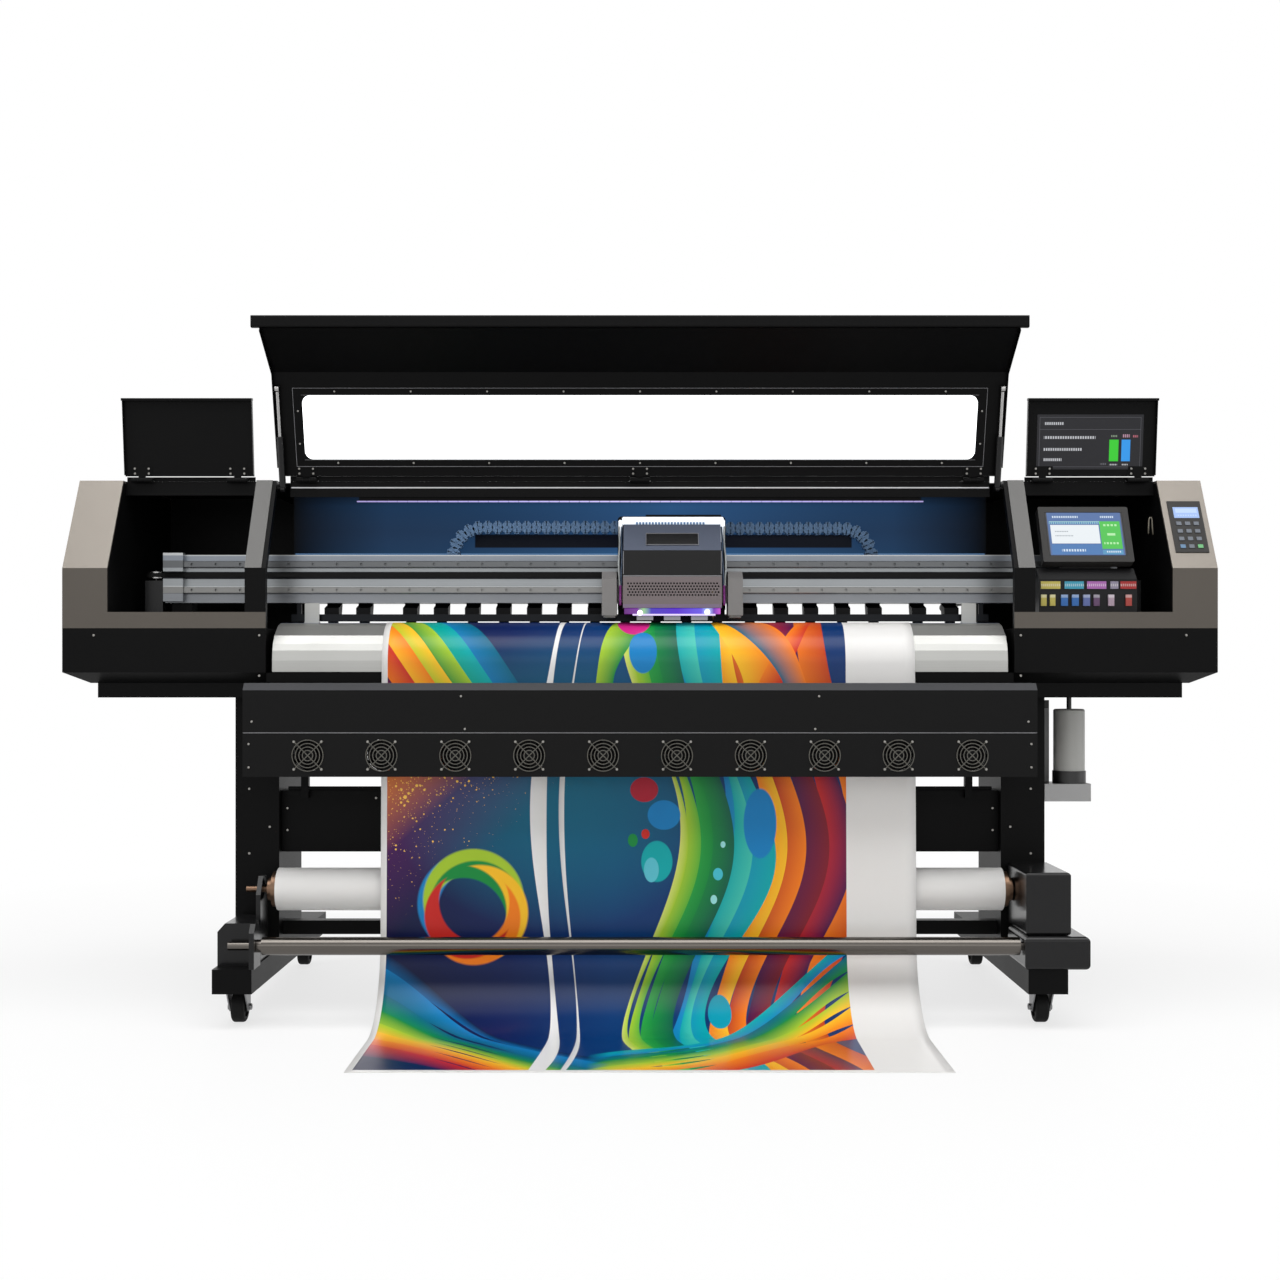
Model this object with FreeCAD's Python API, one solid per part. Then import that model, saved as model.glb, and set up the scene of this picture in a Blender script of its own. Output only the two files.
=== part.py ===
"""Roll-fed wide-format printer cutter on a wheeled stand, for sign making.

Row frame, millimetres: +X to the operator's right, +Y to the rear, +Z up.
The origin is on the floor, under the middle of the machine's bounding box.
"""

import FreeCAD, Part
import math
import os

from FreeCAD import Vector

# ---------------------------------------------------------------- driving dimensions
# End cabinets and the open print bay between them
HALF_WIDTH = 1375.0          # outer face of each end cabinet
BAY_HALF = 891.0             # inner face of each end frame
FRAME_WIDTH = 50.0           # thickness of an end frame along X
COVER_STRIP = 107.0          # width of the painted side cover seen from the front
FRONT_Y = -150.0             # vertical front face of the cabinets
REAR_Y = 400.0               # rear face of the cabinets
SLOPE_TOP_Y = -24.0          # where the sloped front meets the flat top
TOP_Z = 1300.0
BEND_Z = 1078.0              # where the slope meets the vertical front
SILL_Z = 973.5               # lower edge of the openings, top of the trim band
DECK_Z = 935.0               # bottom of the trim band, top of the lower tub
TUB_Z = 804.0                # underside of the lower tub
TRAY_Z = 769.0               # underside of the base tray
SKIN = 3.0                   # sheet metal

# Media path
MEDIA_Z = 950.0              # top of the platen
MEDIA_WIDTH = 1270.0         # a standard 50 inch roll
MEDIA_X = 20.0               # the web runs a little to the right of the centre
MEDIA_T = 0.8
APRON_HALF = 877.0
FEED_Y = 77.0                # line where the pinch rollers meet the grit roller
GRIT_R = 11.0
PINCH_R = 9.0
PINCH_PIVOT = (100.0, 1012.0)
DRAPE_R = 200.0              # bend of the print where it meets the floor
DRAPE_Y = -166.0             # vertical fall of the print near the floor
PRINT_END_Y = -662.0         # front edge of the print on the floor

# Print carriage and its guides
CARRIAGE_X = 78.0
BEAM_FRONT = 30.0
BEAM_REAR = 90.0
BEAM_Z = (1002.0, 1121.0)
BEAM_HALF = 1180.0
RAIL_ZS = (1033.0, 1097.0)
RAIL_SIZE = 15.0
BELT_Z = 1071.0
PULLEY_X = 1207.0
PULLEY_Y = 45.0
PULLEY_R = 20.0
CHAIN_YS = ((104.0, 132.0), (136.0, 164.0))
CHAIN_T = 33.0
CHAIN_TOP_Z = 1196.0
CHAIN_BEND_R = 75.0
CHAIN_BENDS_X = (-398.0, 516.0)
CHAIN_ENDS_X = (196.0, 20.0)  # where each chain is held by the carriage

# Hinged covers
HINGE_Y = -16.0
HINGE_Z = 1302.0
COVER_HALF = 888.0
COVER_LEAN = 17.6            # degrees forward of upright when open
COVER_PANEL = 264.0
FLARE_ANGLE = 59.0           # degrees forward of upright, front part of the cover when open
FLARE_LENGTH = 156.0
LID_LEAN = 6.6
LID_LENGTH = 195.0
LID_INNER = 949.0
LID_OUTER = 1266.0

# Stand
LEG_INNER = 882.0
LEG_OUTER = 989.0
LEG_Y = (-40.0, 230.0)
FOOT_X = 945.0
FOOT_WIDTH = 92.0
FOOT_Y = (-260.0, 662.0)
FOOT_Z = (85.0, 142.0)
CASTER_X = 950.0
CASTER_YS = (-180.0, 590.0)
WHEEL_R = 36.0
CASTER_TRAIL = 24.0

# Dryer with its fans
DRYER_HALF = 921.0
DRYER_Y = (-255.0, -185.0)
DRYER_TOP = 805.0
DRYER_SEAM = 690.0
DRYER_BOTTOM = 588.0
FAN_COUNT = 10
FAN_FIRST_X = -770.0
FAN_Z = 637.5
FAN_SIZE = 80.0
FAN_BORE_R = 37.5

# Take-up and supply
ROLL_Y = -100.0
ROLL_Z = 308.0
ROLL_R = 51.0
CORE_R = 38.5
BAR_Y = -230.0
BAR_Z = 192.0
BAR_R = 21.0
SUPPLY_Y = 456.0
SUPPLY_Z = 620.0
SUPPLY_R = 70.0

RUNNING = 0.06               # radial clearance of a shaft in its bore

os.makedirs("parts", exist_ok=True)


# ---------------------------------------------------------------- helpers
def box(x0, x1, y0, y1, z0, z1):
    """A box between two corners."""
    return Part.makeBox(x1 - x0, y1 - y0, z1 - z0, Vector(x0, y0, z0))


def rod_x(x0, x1, y, z, r):
    """A round bar along X."""
    return Part.makeCylinder(r, x1 - x0, Vector(x0, y, z), Vector(1, 0, 0))


def rod_y(x, y0, y1, z, r):
    """A round bar along Y."""
    return Part.makeCylinder(r, y1 - y0, Vector(x, y0, z), Vector(0, 1, 0))


def rod_z(x, y, z0, z1, r):
    """A round bar along Z."""
    return Part.makeCylinder(r, z1 - z0, Vector(x, y, z0), Vector(0, 0, 1))


def prism_x(points, x0, x1):
    """A closed (y, z) outline carried along X."""
    wire = Part.makePolygon([Vector(x0, y, z) for y, z in list(points) + [points[0]]])
    return Part.Face(wire).extrude(Vector(x1 - x0, 0, 0))


def prism_y(points, y0, y1):
    """A closed (x, z) outline carried along Y."""
    wire = Part.makePolygon([Vector(x, y0, z) for x, z in list(points) + [points[0]]])
    return Part.Face(wire).extrude(Vector(0, y1 - y0, 0))


def fuse(*shapes):
    """One solid from touching or overlapping shapes."""
    return shapes[0].multiFuse(list(shapes[1:])).removeSplitter()


def apart(*shapes):
    """Separate pieces that meet face to face: each shape gives way to the ones before it."""
    kept = []
    for shape in shapes:
        for other in kept:
            if shape.BoundBox.intersect(other.BoundBox):
                shape = shape.cut(other)
        kept.extend(shape.Solids)
    return kept


def mirror(shape):
    """The same piece on the other side of the machine."""
    return shape.mirror(Vector(0, 0, 0), Vector(1, 0, 0))


def export(name, *shapes):
    """Writes one node, a group of one or more separate solids."""
    solids = [s for shape in shapes for s in shape.Solids]
    out = solids[0] if len(solids) == 1 else Part.makeCompound(solids)
    out.exportStep(f"parts/{name}.step")


def leaf_frame(lean):
    """Unit vectors (along the leaf, towards its inner side) in (y, z) for a cover that is open."""
    a = math.radians(lean)
    return (-math.sin(a), math.cos(a)), (-math.cos(a), -math.sin(a))


def leaf_point(lean, s, n):
    """The (y, z) place of a point s along an open cover from its hinge and n to its inner side."""
    along, inward = leaf_frame(lean)
    return (HINGE_Y + s * along[0] + n * inward[0], HINGE_Z + s * along[1] + n * inward[1])


def leaf_box(lean, x0, x1, s0, s1, n0, n1):
    """A box in the frame of an open cover."""
    corners = [(s0, n0), (s1, n0), (s1, n1), (s0, n1)]
    return prism_x([leaf_point(lean, s, n) for s, n in corners], x0, x1)


# ---------------------------------------------------------------- stand
FOOT_WALL = 5.0
COLUMN_WALL = 4.0
SUPPLY_ARM = 12.0


def leg():
    """Right-hand leg: a hollow column on a closed hollow foot, with an arm for the supply roll."""
    half = FOOT_WIDTH / 2
    foot = box(FOOT_X - half, FOOT_X + half, *FOOT_Y, *FOOT_Z)
    foot = foot.cut(box(FOOT_X - half + FOOT_WALL, FOOT_X + half - FOOT_WALL,
                        FOOT_Y[0] + FOOT_WALL, FOOT_Y[1] - FOOT_WALL,
                        FOOT_Z[0] + FOOT_WALL, FOOT_Z[1] - FOOT_WALL))
    column = box(LEG_INNER, LEG_OUTER, *LEG_Y, FOOT_Z[1], TUB_Z - SKIN)
    column = column.cut(box(LEG_INNER + COLUMN_WALL, LEG_OUTER - COLUMN_WALL,
                            LEG_Y[0] + COLUMN_WALL, LEG_Y[1] - COLUMN_WALL,
                            FOOT_Z[1] + COLUMN_WALL, TUB_Z))
    gusset = prism_y([(LEG_INNER, FOOT_Z[1]), (LEG_OUTER + 24, FOOT_Z[1]),
                      (LEG_OUTER + 24, FOOT_Z[1] + 8), (LEG_OUTER, FOOT_Z[1] + 62),
                      (LEG_INNER, FOOT_Z[1] + 62)], LEG_Y[0], LEG_Y[0] + 6)
    arm = prism_x([(LEG_Y[1] - 2, 560), (SUPPLY_Y + 30, 585), (SUPPLY_Y + 30, SUPPLY_Z + 14),
                   (LEG_Y[1] - 2, SUPPLY_Z + 60)], LEG_INNER, LEG_INNER + SUPPLY_ARM)
    slot = fuse(rod_x(LEG_INNER - 1, LEG_INNER + SUPPLY_ARM + 1, SUPPLY_Y, SUPPLY_Z,
                      SUPPLY_SHAFT_R + RUNNING),
                box(LEG_INNER - 1, LEG_INNER + SUPPLY_ARM + 1,
                    SUPPLY_Y - SUPPLY_SHAFT_R - RUNNING, SUPPLY_Y + SUPPLY_SHAFT_R + RUNNING,
                    SUPPLY_Z, SUPPLY_Z + 80))
    return fuse(foot, column, gusset, arm).cut(slot)


SUPPLY_SHAFT_R = 12.0
STRETCHER_Z = (388.0, 539.0)
STRETCHER_Y = (-10.0, 50.0)
LOWER_TUBE_Z = 200.0


def stand_crossbars():
    """The folded stretcher panel, the lower square tube and the thin web guide rod with its two posts."""
    y0, y1 = STRETCHER_Y
    z0, z1 = STRETCHER_Z
    panel = box(-LEG_INNER, LEG_INNER, y0, y1, z0, z1)
    panel = panel.cut(box(-LEG_INNER - 1, LEG_INNER + 1, y0 + SKIN, y1 + 1, z0 + SKIN, z1 - SKIN))
    tube = box(-LEG_INNER, LEG_INNER, 0, 34, LOWER_TUBE_Z - 17, LOWER_TUBE_Z + 17)
    tube = tube.cut(box(-LEG_INNER - 1, LEG_INNER + 1, SKIN, 34 - SKIN,
                        LOWER_TUBE_Z - 17 + SKIN, LOWER_TUBE_Z + 17 - SKIN))
    guide_y = y0 - 16
    posts = [box(x - 9, x + 9, guide_y - 3, y0, z1 - 18, z1 + 61) for x in (-822, 806)]
    rods = [rod_x(xa, xb, guide_y, z1 + 6, 5) for xa, xb in ((-862, -831), (-813, 797), (815, 862))]
    return (panel, tube, *posts, *rods)


CASTER_PLATE = 3.5
CROWN_T = 6.0
FORK_HALF = 20.0
TYRE_HALF = 16.0
KINGPIN_R = 7.0
AXLE_R = 4.0


def caster_fork(x, y):
    """Swivelling fork under a foot: raceway, kingpin, two cheeks and the axle."""
    top = FOOT_Z[0]
    wheel_y = y + CASTER_TRAIL
    race_z = top - CASTER_PLATE - RUNNING
    race = rod_z(x, y, race_z - CROWN_T, race_z, 28)
    crown = box(x - FORK_HALF - 3, x + FORK_HALF + 3, y - 24, wheel_y + 10, race_z - CROWN_T, race_z - 1)
    shapes = [race, crown]
    for side in (-1, 1):
        xa, xb = sorted((x + side * FORK_HALF, x + side * (FORK_HALF + 3)))
        shapes.append(prism_x([(y - 22, race_z - 3), (wheel_y + 10, race_z - 3),
                               (wheel_y + 11, WHEEL_R - 9), (wheel_y - 11, WHEEL_R - 9)], xa, xb))
    shapes.append(rod_x(x - FORK_HALF - 9, x + FORK_HALF + 9, wheel_y, WHEEL_R, AXLE_R))
    for side in (-1, 1):
        xa, xb = sorted((x + side * (FORK_HALF + 3), x + side * (FORK_HALF + 8)))
        shapes.append(rod_x(xa, xb, wheel_y, WHEEL_R, 7.5))
    fork = fuse(*shapes)
    return fork.cut(rod_z(x, y, top - 20, top, KINGPIN_R + RUNNING))


def caster_plate(x, y):
    """Fixed top plate of a caster, its kingpin and the head of the kingpin."""
    top = FOOT_Z[0]
    head_z = top - CASTER_PLATE - CROWN_T - 0.3
    return [box(x - 36, x + 36, y - 40, y + 40, top - CASTER_PLATE, top),
            rod_z(x, y, head_z, top - CASTER_PLATE, KINGPIN_R),
            rod_z(x, y, head_z - 3.5, head_z, KINGPIN_R + 2.5)]


def caster_wheel(x, y):
    """Wheel with a rounded tread, turning on the fork's axle."""
    wheel_y = y + CASTER_TRAIL
    tread = 7.0
    wheel = rod_x(x - TYRE_HALF, x + TYRE_HALF, wheel_y, WHEEL_R, WHEEL_R)
    rim = [e for e in wheel.Edges if e.Length > 2 * math.pi * WHEEL_R - 1]
    wheel = wheel.makeFillet(tread, rim)
    hub = rod_x(x - FORK_HALF + 0.6, x + FORK_HALF - 0.6, wheel_y, WHEEL_R, 12)
    dishes = [rod_x(xa, xb, wheel_y, WHEEL_R, 24) for xa, xb in
              ((x - TYRE_HALF - 1, x - TYRE_HALF + 5), (x + TYRE_HALF - 5, x + TYRE_HALF + 1))]
    wheel = wheel.cut(Part.makeCompound(dishes)).fuse(hub)
    return wheel.cut(rod_x(x - 40, x + 40, wheel_y, WHEEL_R, AXLE_R + RUNNING))


# ---------------------------------------------------------------- bed, platen and apron
TRAY_HALF = 1306.0
TRAY_Y = (-100.0, 340.0)
BED_Y = (-60.0, 190.0)
BED_TOP = 925.0
APRON_T = 4.0
NOSE_R = 60.0


def bed():
    """Base tray, open below, and the box beam that carries the platen, with its front skirt."""
    tray = box(-TRAY_HALF, TRAY_HALF, *TRAY_Y, TRAY_Z, TUB_Z)
    tray = tray.cut(box(-TRAY_HALF + SKIN, TRAY_HALF - SKIN, TRAY_Y[0] + SKIN, TRAY_Y[1] - SKIN,
                        TRAY_Z - 1, TUB_Z - SKIN))
    wall = 5.0
    beam = box(-BAY_HALF, BAY_HALF, *BED_Y, TUB_Z, BED_TOP)
    beam = beam.cut(box(-BAY_HALF - 1, BAY_HALF + 1, BED_Y[0] + wall, BED_Y[1] - wall,
                        TUB_Z + wall, BED_TOP - wall))
    grit_z = MEDIA_Z - 0.1 - GRIT_R
    for side in (-1, 1):
        xa, xb = sorted((side * 874, side * 889))
        bearing = box(xa, xb, FEED_Y - 15, FEED_Y + 15, BED_TOP, MEDIA_Z - 1)
        beam = beam.fuse(bearing).cut(rod_x(xa - 1, xb + 1, FEED_Y, grit_z, 7 + RUNNING))
    skirt = prism_x([(-141, 806), (-141, 829), (-138, 829), (-138, 809), (BED_Y[0], 809),
                     (BED_Y[0], 806)], -BAY_HALF, BAY_HALF)
    return tray, fuse(beam, skirt)


def apron_outline():
    """(y, z) facets of the apron's outer face, from the flat platen down the front."""
    return [(-40, MEDIA_Z), (-75, 943), (-118, 918), (-133, 898), (-140, 882), (-143, 858),
            (-143, 831)]


def platen():
    """Faceted front apron, flat platen with the cutting groove, and rear plate with a rounded nose."""
    outer = apron_outline()
    inner = [(y + APRON_T, z - APRON_T) for y, z in outer]
    inner[0] = (outer[0][0], MEDIA_Z - APRON_T)
    inner[-1] = (outer[-1][0] + APRON_T, outer[-1][1])
    apron = prism_x(outer + inner[::-1], -APRON_HALF, APRON_HALF)
    groove_half, groove_z = APRON_HALF - 12, MEDIA_Z - 2
    front = [box(-APRON_HALF, APRON_HALF, -40, FEED_Y - 16, MEDIA_Z - 6, groove_z),
             box(-APRON_HALF, APRON_HALF, -40, -22, groove_z, MEDIA_Z),
             box(-APRON_HALF, APRON_HALF, -14, FEED_Y - 16, groove_z, MEDIA_Z),
             box(-APRON_HALF, -groove_half, -22, -14, groove_z, MEDIA_Z),
             box(groove_half, APRON_HALF, -22, -14, groove_z, MEDIA_Z)]
    rear = box(-APRON_HALF, APRON_HALF, FEED_Y + 16, 200, MEDIA_Z - 6, MEDIA_Z)
    nose = rod_x(-APRON_HALF, APRON_HALF, 200, MEDIA_Z - NOSE_R, NOSE_R)
    nose = nose.cut(rod_x(-APRON_HALF - 1, APRON_HALF + 1, 200, MEDIA_Z - NOSE_R, NOSE_R - 4))
    nose = nose.common(box(-APRON_HALF, APRON_HALF, 200, 300, MEDIA_Z - NOSE_R, MEDIA_Z + 1))
    ribs = [box(-APRON_HALF, APRON_HALF, y, y + 4, BED_TOP, MEDIA_Z - 6) for y in (-38, 50, 100, 180)]
    guides = []
    for x in (-833, 799):
        guides.append(box(x, x + 36, 22, 42, MEDIA_Z, MEDIA_Z + 4))
        guides.append(box(x, x + 36, 27, 31, MEDIA_Z + 4, BEAM_Z[0] - 1))
    return apart(apron, *front, rear, nose, *ribs, *guides)


def print_media():
    """The vinyl web: off the supply roll, over the nose and platen, round the apron and onto the floor."""
    t = MEDIA_T
    top = MEDIA_Z + 0.2
    apron_r = 101.0
    apron_c = (-46.0, top - apron_r)
    nose_r = NOSE_R + 0.3
    nose_c = (200.0, top - nose_r)
    floor_z = 1.0

    def arc(centre, radius, a0, a1):
        """Three points on an arc, angles in degrees from +Y towards +Z."""
        out = []
        for a in (a0, (a0 + a1) / 2, a1):
            out.append((centre[0] + radius * math.cos(math.radians(a)),
                        centre[1] + radius * math.sin(math.radians(a))))
        return out

    half = math.sqrt(0.5)
    run = (SUPPLY_Y + SUPPLY_R * half, SUPPLY_Z + SUPPLY_R * half)
    drape_c = (DRAPE_Y - DRAPE_R, DRAPE_R + floor_z)

    def side(offset):
        """One face of the web, offset along its outer normal, as edges from the roll to the floor."""
        nose = arc(nose_c, nose_r + offset, 45, 90)
        apron = arc(apron_c, apron_r + offset, 90, 180)
        drape = arc(drape_c, DRAPE_R - offset, 0, -90)
        start = (run[0] + 0.3 + offset * half, run[1] + 0.3 + offset * half)
        end = (PRINT_END_Y, drape[2][1])
        return [("line", start, nose[0]), ("arc", nose), ("line", nose[2], apron[0]), ("arc", apron),
                ("line", apron[2], drape[0]), ("arc", drape), ("line", drape[2], end)]

    x0 = MEDIA_X - MEDIA_WIDTH / 2

    def edges(parts):
        made = []
        for part in parts:
            if part[0] == "line":
                made.append(Part.makeLine(*[Vector(x0, *p) for p in part[1:]]))
            else:
                made.append(Part.Arc(*[Vector(x0, *p) for p in part[1]]).toShape())
        return made

    near, far = side(0.0), side(t)
    outline = edges(near) + edges(far)
    outline.append(Part.makeLine(Vector(x0, *near[0][1]), Vector(x0, *far[0][1])))
    outline.append(Part.makeLine(Vector(x0, *near[-1][2]), Vector(x0, *far[-1][2])))
    wire = Part.Wire(Part.__sortEdges__(outline))
    return Part.Face(wire).extrude(Vector(MEDIA_WIDTH, 0, 0))


# ---------------------------------------------------------------- cabinets
def profile(inset=0.0, floor_z=DECK_Z, rear=REAR_Y):
    """(y, z) outline of a cabinet's upper body, moved inwards by inset on every side but the floor."""
    slope = math.atan2(SLOPE_TOP_Y - FRONT_Y, TOP_Z - BEND_Z)
    shift = inset * math.tan((math.pi / 2 - slope) / 2)
    lower = inset * math.tan(slope / 2)
    return [(FRONT_Y + inset, floor_z), (FRONT_Y + inset, BEND_Z - lower),
            (SLOPE_TOP_Y + shift, TOP_Z - inset), (rear - inset, TOP_Z - inset),
            (rear - inset, floor_z)]


CHAMFER_X = 52.0
CHAMFER_Z = 26.0


def tub():
    """Right-hand lower tub with its chamfered bottom edges, a closed sheet-metal box."""
    outline = [(BAY_HALF, TUB_Z), (HALF_WIDTH - CHAMFER_X, TUB_Z), (HALF_WIDTH, TUB_Z + CHAMFER_Z),
               (HALF_WIDTH, DECK_Z), (BAY_HALF, DECK_Z)]
    solid = prism_y(outline, FRONT_Y, REAR_Y)
    wedge = prism_x([(FRONT_Y - 1, TUB_Z - 1), (FRONT_Y + CHAMFER_X, TUB_Z - 1),
                     (FRONT_Y - 1, TUB_Z + CHAMFER_Z)], BAY_HALF - 1, HALF_WIDTH + 1)
    solid = solid.cut(wedge)
    hollow = box(BAY_HALF + SKIN, HALF_WIDTH - CHAMFER_X, FRONT_Y + CHAMFER_X, REAR_Y - SKIN,
                 TUB_Z + SKIN, DECK_Z - SKIN)
    return solid.cut(hollow)


def end_frame():
    """Right-hand end frame: four bars along the cabinet's outline, round the way of the carriage."""
    depth = 18.0
    x0, x1 = BAY_HALF, BAY_HALF + FRAME_WIDTH
    outer, inner = profile(), profile(depth)
    bend, corner = inner[1], inner[2]
    run = (SLOPE_TOP_Y - FRONT_Y) / (TOP_Z - BEND_Z)
    level_y = SLOPE_TOP_Y - depth * run
    front = [box(x0, x1, FRONT_Y + SKIN, bend[0], DECK_Z, SILL_Z),
             box(x0, x1, FRONT_Y, bend[0], SILL_Z, bend[1])]
    slope = prism_x([(FRONT_Y, bend[1]), bend, corner, (level_y, corner[1]), outer[1]], x0, x1)
    top = prism_x([(level_y, corner[1]), (REAR_Y - depth, corner[1]), (REAR_Y - depth, TOP_Z), outer[2]],
                  x0, x1)
    rear = box(x0, x1, REAR_Y - depth, REAR_Y, DECK_Z, TOP_Z)
    return [*front, slope, top, rear]


def cabinet():
    """Right-hand black cabinet: tub, end frame, rear and top panels, header, liner and beam pedestal."""
    liner_x = HALF_WIDTH - COVER_STRIP
    rear = box(BAY_HALF + FRAME_WIDTH, liner_x, REAR_Y - SKIN, REAR_Y, DECK_Z, TOP_Z)
    top = box(BAY_HALF + FRAME_WIDTH, liner_x, 0, REAR_Y, TOP_Z - SKIN, TOP_Z)
    header = box(BAY_HALF + FRAME_WIDTH, liner_x, 0, 14, TOP_Z - 34, TOP_Z)
    liner = prism_x(profile(6.0), liner_x, liner_x + SKIN)
    pedestal = box(1115, 1165, 35, 85, DECK_Z, BEAM_Z[0])
    hinges = [piece for x in LID_HINGES for piece in hinge_fixed(x)]
    return apart(tub(), *end_frame(), rear, top, header, liner, pedestal, strut_stud(), *hinges)


def side_cover():
    """Right-hand painted side cover: end panel with a folded front, slope and top."""
    x0 = HALF_WIDTH - COVER_STRIP + SKIN + 0.5
    solid = prism_x(profile(0.0, SILL_Z), x0, HALF_WIDTH)
    hollow = prism_x(profile(SKIN, SILL_Z - 1), x0 - 1, HALF_WIDTH - SKIN)
    lip = prism_x(profile(0.0, SILL_Z), x0 - SKIN - 0.5, x0)
    lip = lip.cut(prism_x(profile(6.0, SILL_Z - 1), x0 - SKIN - 2, x0 + 1))
    return fuse(solid.cut(hollow), lip)


def trim(with_cap=True):
    """Right-hand painted band below the opening and the cap on the end frame's slope."""
    band = box(BAY_HALF, HALF_WIDTH, FRONT_Y, REAR_Y, DECK_Z, SILL_Z)
    band = band.cut(box(BAY_HALF - 1, HALF_WIDTH - SKIN, FRONT_Y + SKIN, REAR_Y + 1, DECK_Z - 1, SILL_Z + 1))
    run = math.hypot(SLOPE_TOP_Y - FRONT_Y, TOP_Z - BEND_Z)
    ny, nz = -(TOP_Z - BEND_Z) / run, (SLOPE_TOP_Y - FRONT_Y) / run
    t = 2.0
    cap = prism_x([(FRONT_Y, BEND_Z), (SLOPE_TOP_Y, TOP_Z),
                   (SLOPE_TOP_Y + t * ny, TOP_Z + t * nz), (FRONT_Y + t * ny, BEND_Z + t * nz)],
                  BAY_HALF + 10, BAY_HALF + FRAME_WIDTH)
    return (band, cap) if with_cap else (band,)


BAY_BACK_Y = 170.0
BAY_FLOOR_Z = 1016.0
RAIL_HALF = 863.0


def rear_housing():
    """Electronics housing behind the bay: inner back panel, floor, outer rear panel and the top rail."""
    x = BAY_HALF
    back = box(-x, x, BAY_BACK_Y, BAY_BACK_Y + SKIN, BAY_FLOOR_Z, TOP_Z - SKIN)
    floor = box(-x, x, BAY_BACK_Y, REAR_Y, BAY_FLOOR_Z, BAY_FLOOR_Z + SKIN)
    outer = box(-x, x, REAR_Y - SKIN, REAR_Y, BAY_FLOOR_Z, TOP_Z - SKIN)
    top = box(-x, x, 30, REAR_Y, TOP_Z - SKIN, TOP_Z)
    nose = box(-RAIL_HALF, RAIL_HALF, 0, 30, TOP_Z - SKIN, TOP_Z)
    valance = box(-RAIL_HALF, RAIL_HALF, 0, SKIN, TOP_Z - 38, TOP_Z)
    vents = [box(xc - 60, xc + 60, REAR_Y - 10, REAR_Y + 10, z, z + 5)
             for xc in (-450, -150, 150, 450) for z in range(1100, 1221, 20)]
    outer = outer.cut(Part.makeCompound(vents))
    led = box(-695, 695, 8, 22, TOP_Z - 46, TOP_Z - SKIN)
    hinges = [piece for x in COVER_HINGES for piece in hinge_fixed(x)]
    return apart(back, floor, outer, top, nose, valance, led, *hinges)


# ---------------------------------------------------------------- hinges of the covers
KNUCKLE_R = 6.0
PIN_R = 2.5


def hinge_fixed(x):
    """Fixed half of a hinge: a leaf on the top edge, two outer knuckles and the pin."""
    leaf_y = HINGE_Y + KNUCKLE_R + 0.5
    pieces = [box(x - 25, x + 25, leaf_y, 14, TOP_Z, TOP_Z + 2)]
    for xa, xb in ((x - 25, x - 9), (x + 9, x + 25)):
        pieces.append(fuse(rod_x(xa, xb, HINGE_Y, HINGE_Z, KNUCKLE_R),
                           box(xa, xb, HINGE_Y + 2, leaf_y, TOP_Z, TOP_Z + 2)))
    pieces.append(rod_x(x - 9, x + 9, HINGE_Y, HINGE_Z, PIN_R))
    return pieces


def hinge_moving(x, lean):
    """Moving half of a hinge: the middle knuckle and its leaf on the cover's inner side."""
    knuckle = rod_x(x - 8.7, x + 8.7, HINGE_Y, HINGE_Z, KNUCKLE_R)
    knuckle = knuckle.cut(rod_x(x - 10, x + 10, HINGE_Y, HINGE_Z, PIN_R + RUNNING))
    plate = leaf_box(lean, x - 25, x + 25, 9, 34, -4.5, -2.5)
    neck = leaf_box(lean, x - 8.7, x + 8.7, 4, 9, -5, -2.0)
    return [knuckle, plate, neck]


LID_HINGES = (990.0, 1225.0)
COVER_HINGES = (-820.0, 0.0, 820.0)


def lid():
    """Right-hand lid, open: a folded tray leaf with a front lip and two hinge halves."""
    skin = leaf_box(LID_LEAN, LID_INNER, LID_OUTER, 9, LID_LENGTH, -6, -4)
    edges = [leaf_box(LID_LEAN, LID_INNER, LID_INNER + 2, 12, LID_LENGTH, -6, 6),
             leaf_box(LID_LEAN, LID_OUTER - 2, LID_OUTER, 12, LID_LENGTH, -6, 6),
             leaf_box(LID_LEAN, LID_INNER - 1, LID_OUTER + 1, LID_LENGTH - 2, LID_LENGTH + 4, -6, 10)]
    halves = [piece for x in LID_HINGES for piece in hinge_moving(x, LID_LEAN)]
    return apart(skin, *edges[::-1], *halves)


WINDOW_HALF = 820.0
WINDOW_S = (51.0, 208.0)
WINDOW_CORNER = 20.0


def rounded_leaf(lean, half, s0, s1, r, n0, n1):
    """A rounded rectangular block in the frame of an open cover."""
    along, inward = leaf_frame(lean)
    cross = [box(-half, half, 0, n1 - n0, s0 + r, s1 - r), box(-half + r, half - r, 0, n1 - n0, s0, s1)]
    corners = [rod_y(x, 0, n1 - n0, s, r) for x in (-half + r, half - r) for s in (s0 + r, s1 - r)]
    block = fuse(*cross, *corners)
    place = FreeCAD.Matrix(1, 0, 0, 0,
                           0, inward[0], along[0], HINGE_Y + n0 * inward[0],
                           0, inward[1], along[1], HINGE_Z + n0 * inward[1],
                           0, 0, 0, 1)
    return block.transformGeometry(place)


def flare_point(s, n):
    """(y, z) of a point on the front part of the open cover, s from the bend and n to its inner side."""
    root = leaf_point(COVER_LEAN, COVER_PANEL, 0)
    along, inward = leaf_frame(FLARE_ANGLE)
    return (root[0] + s * along[0] + n * inward[0], root[1] + s * along[1] + n * inward[1])


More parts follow.
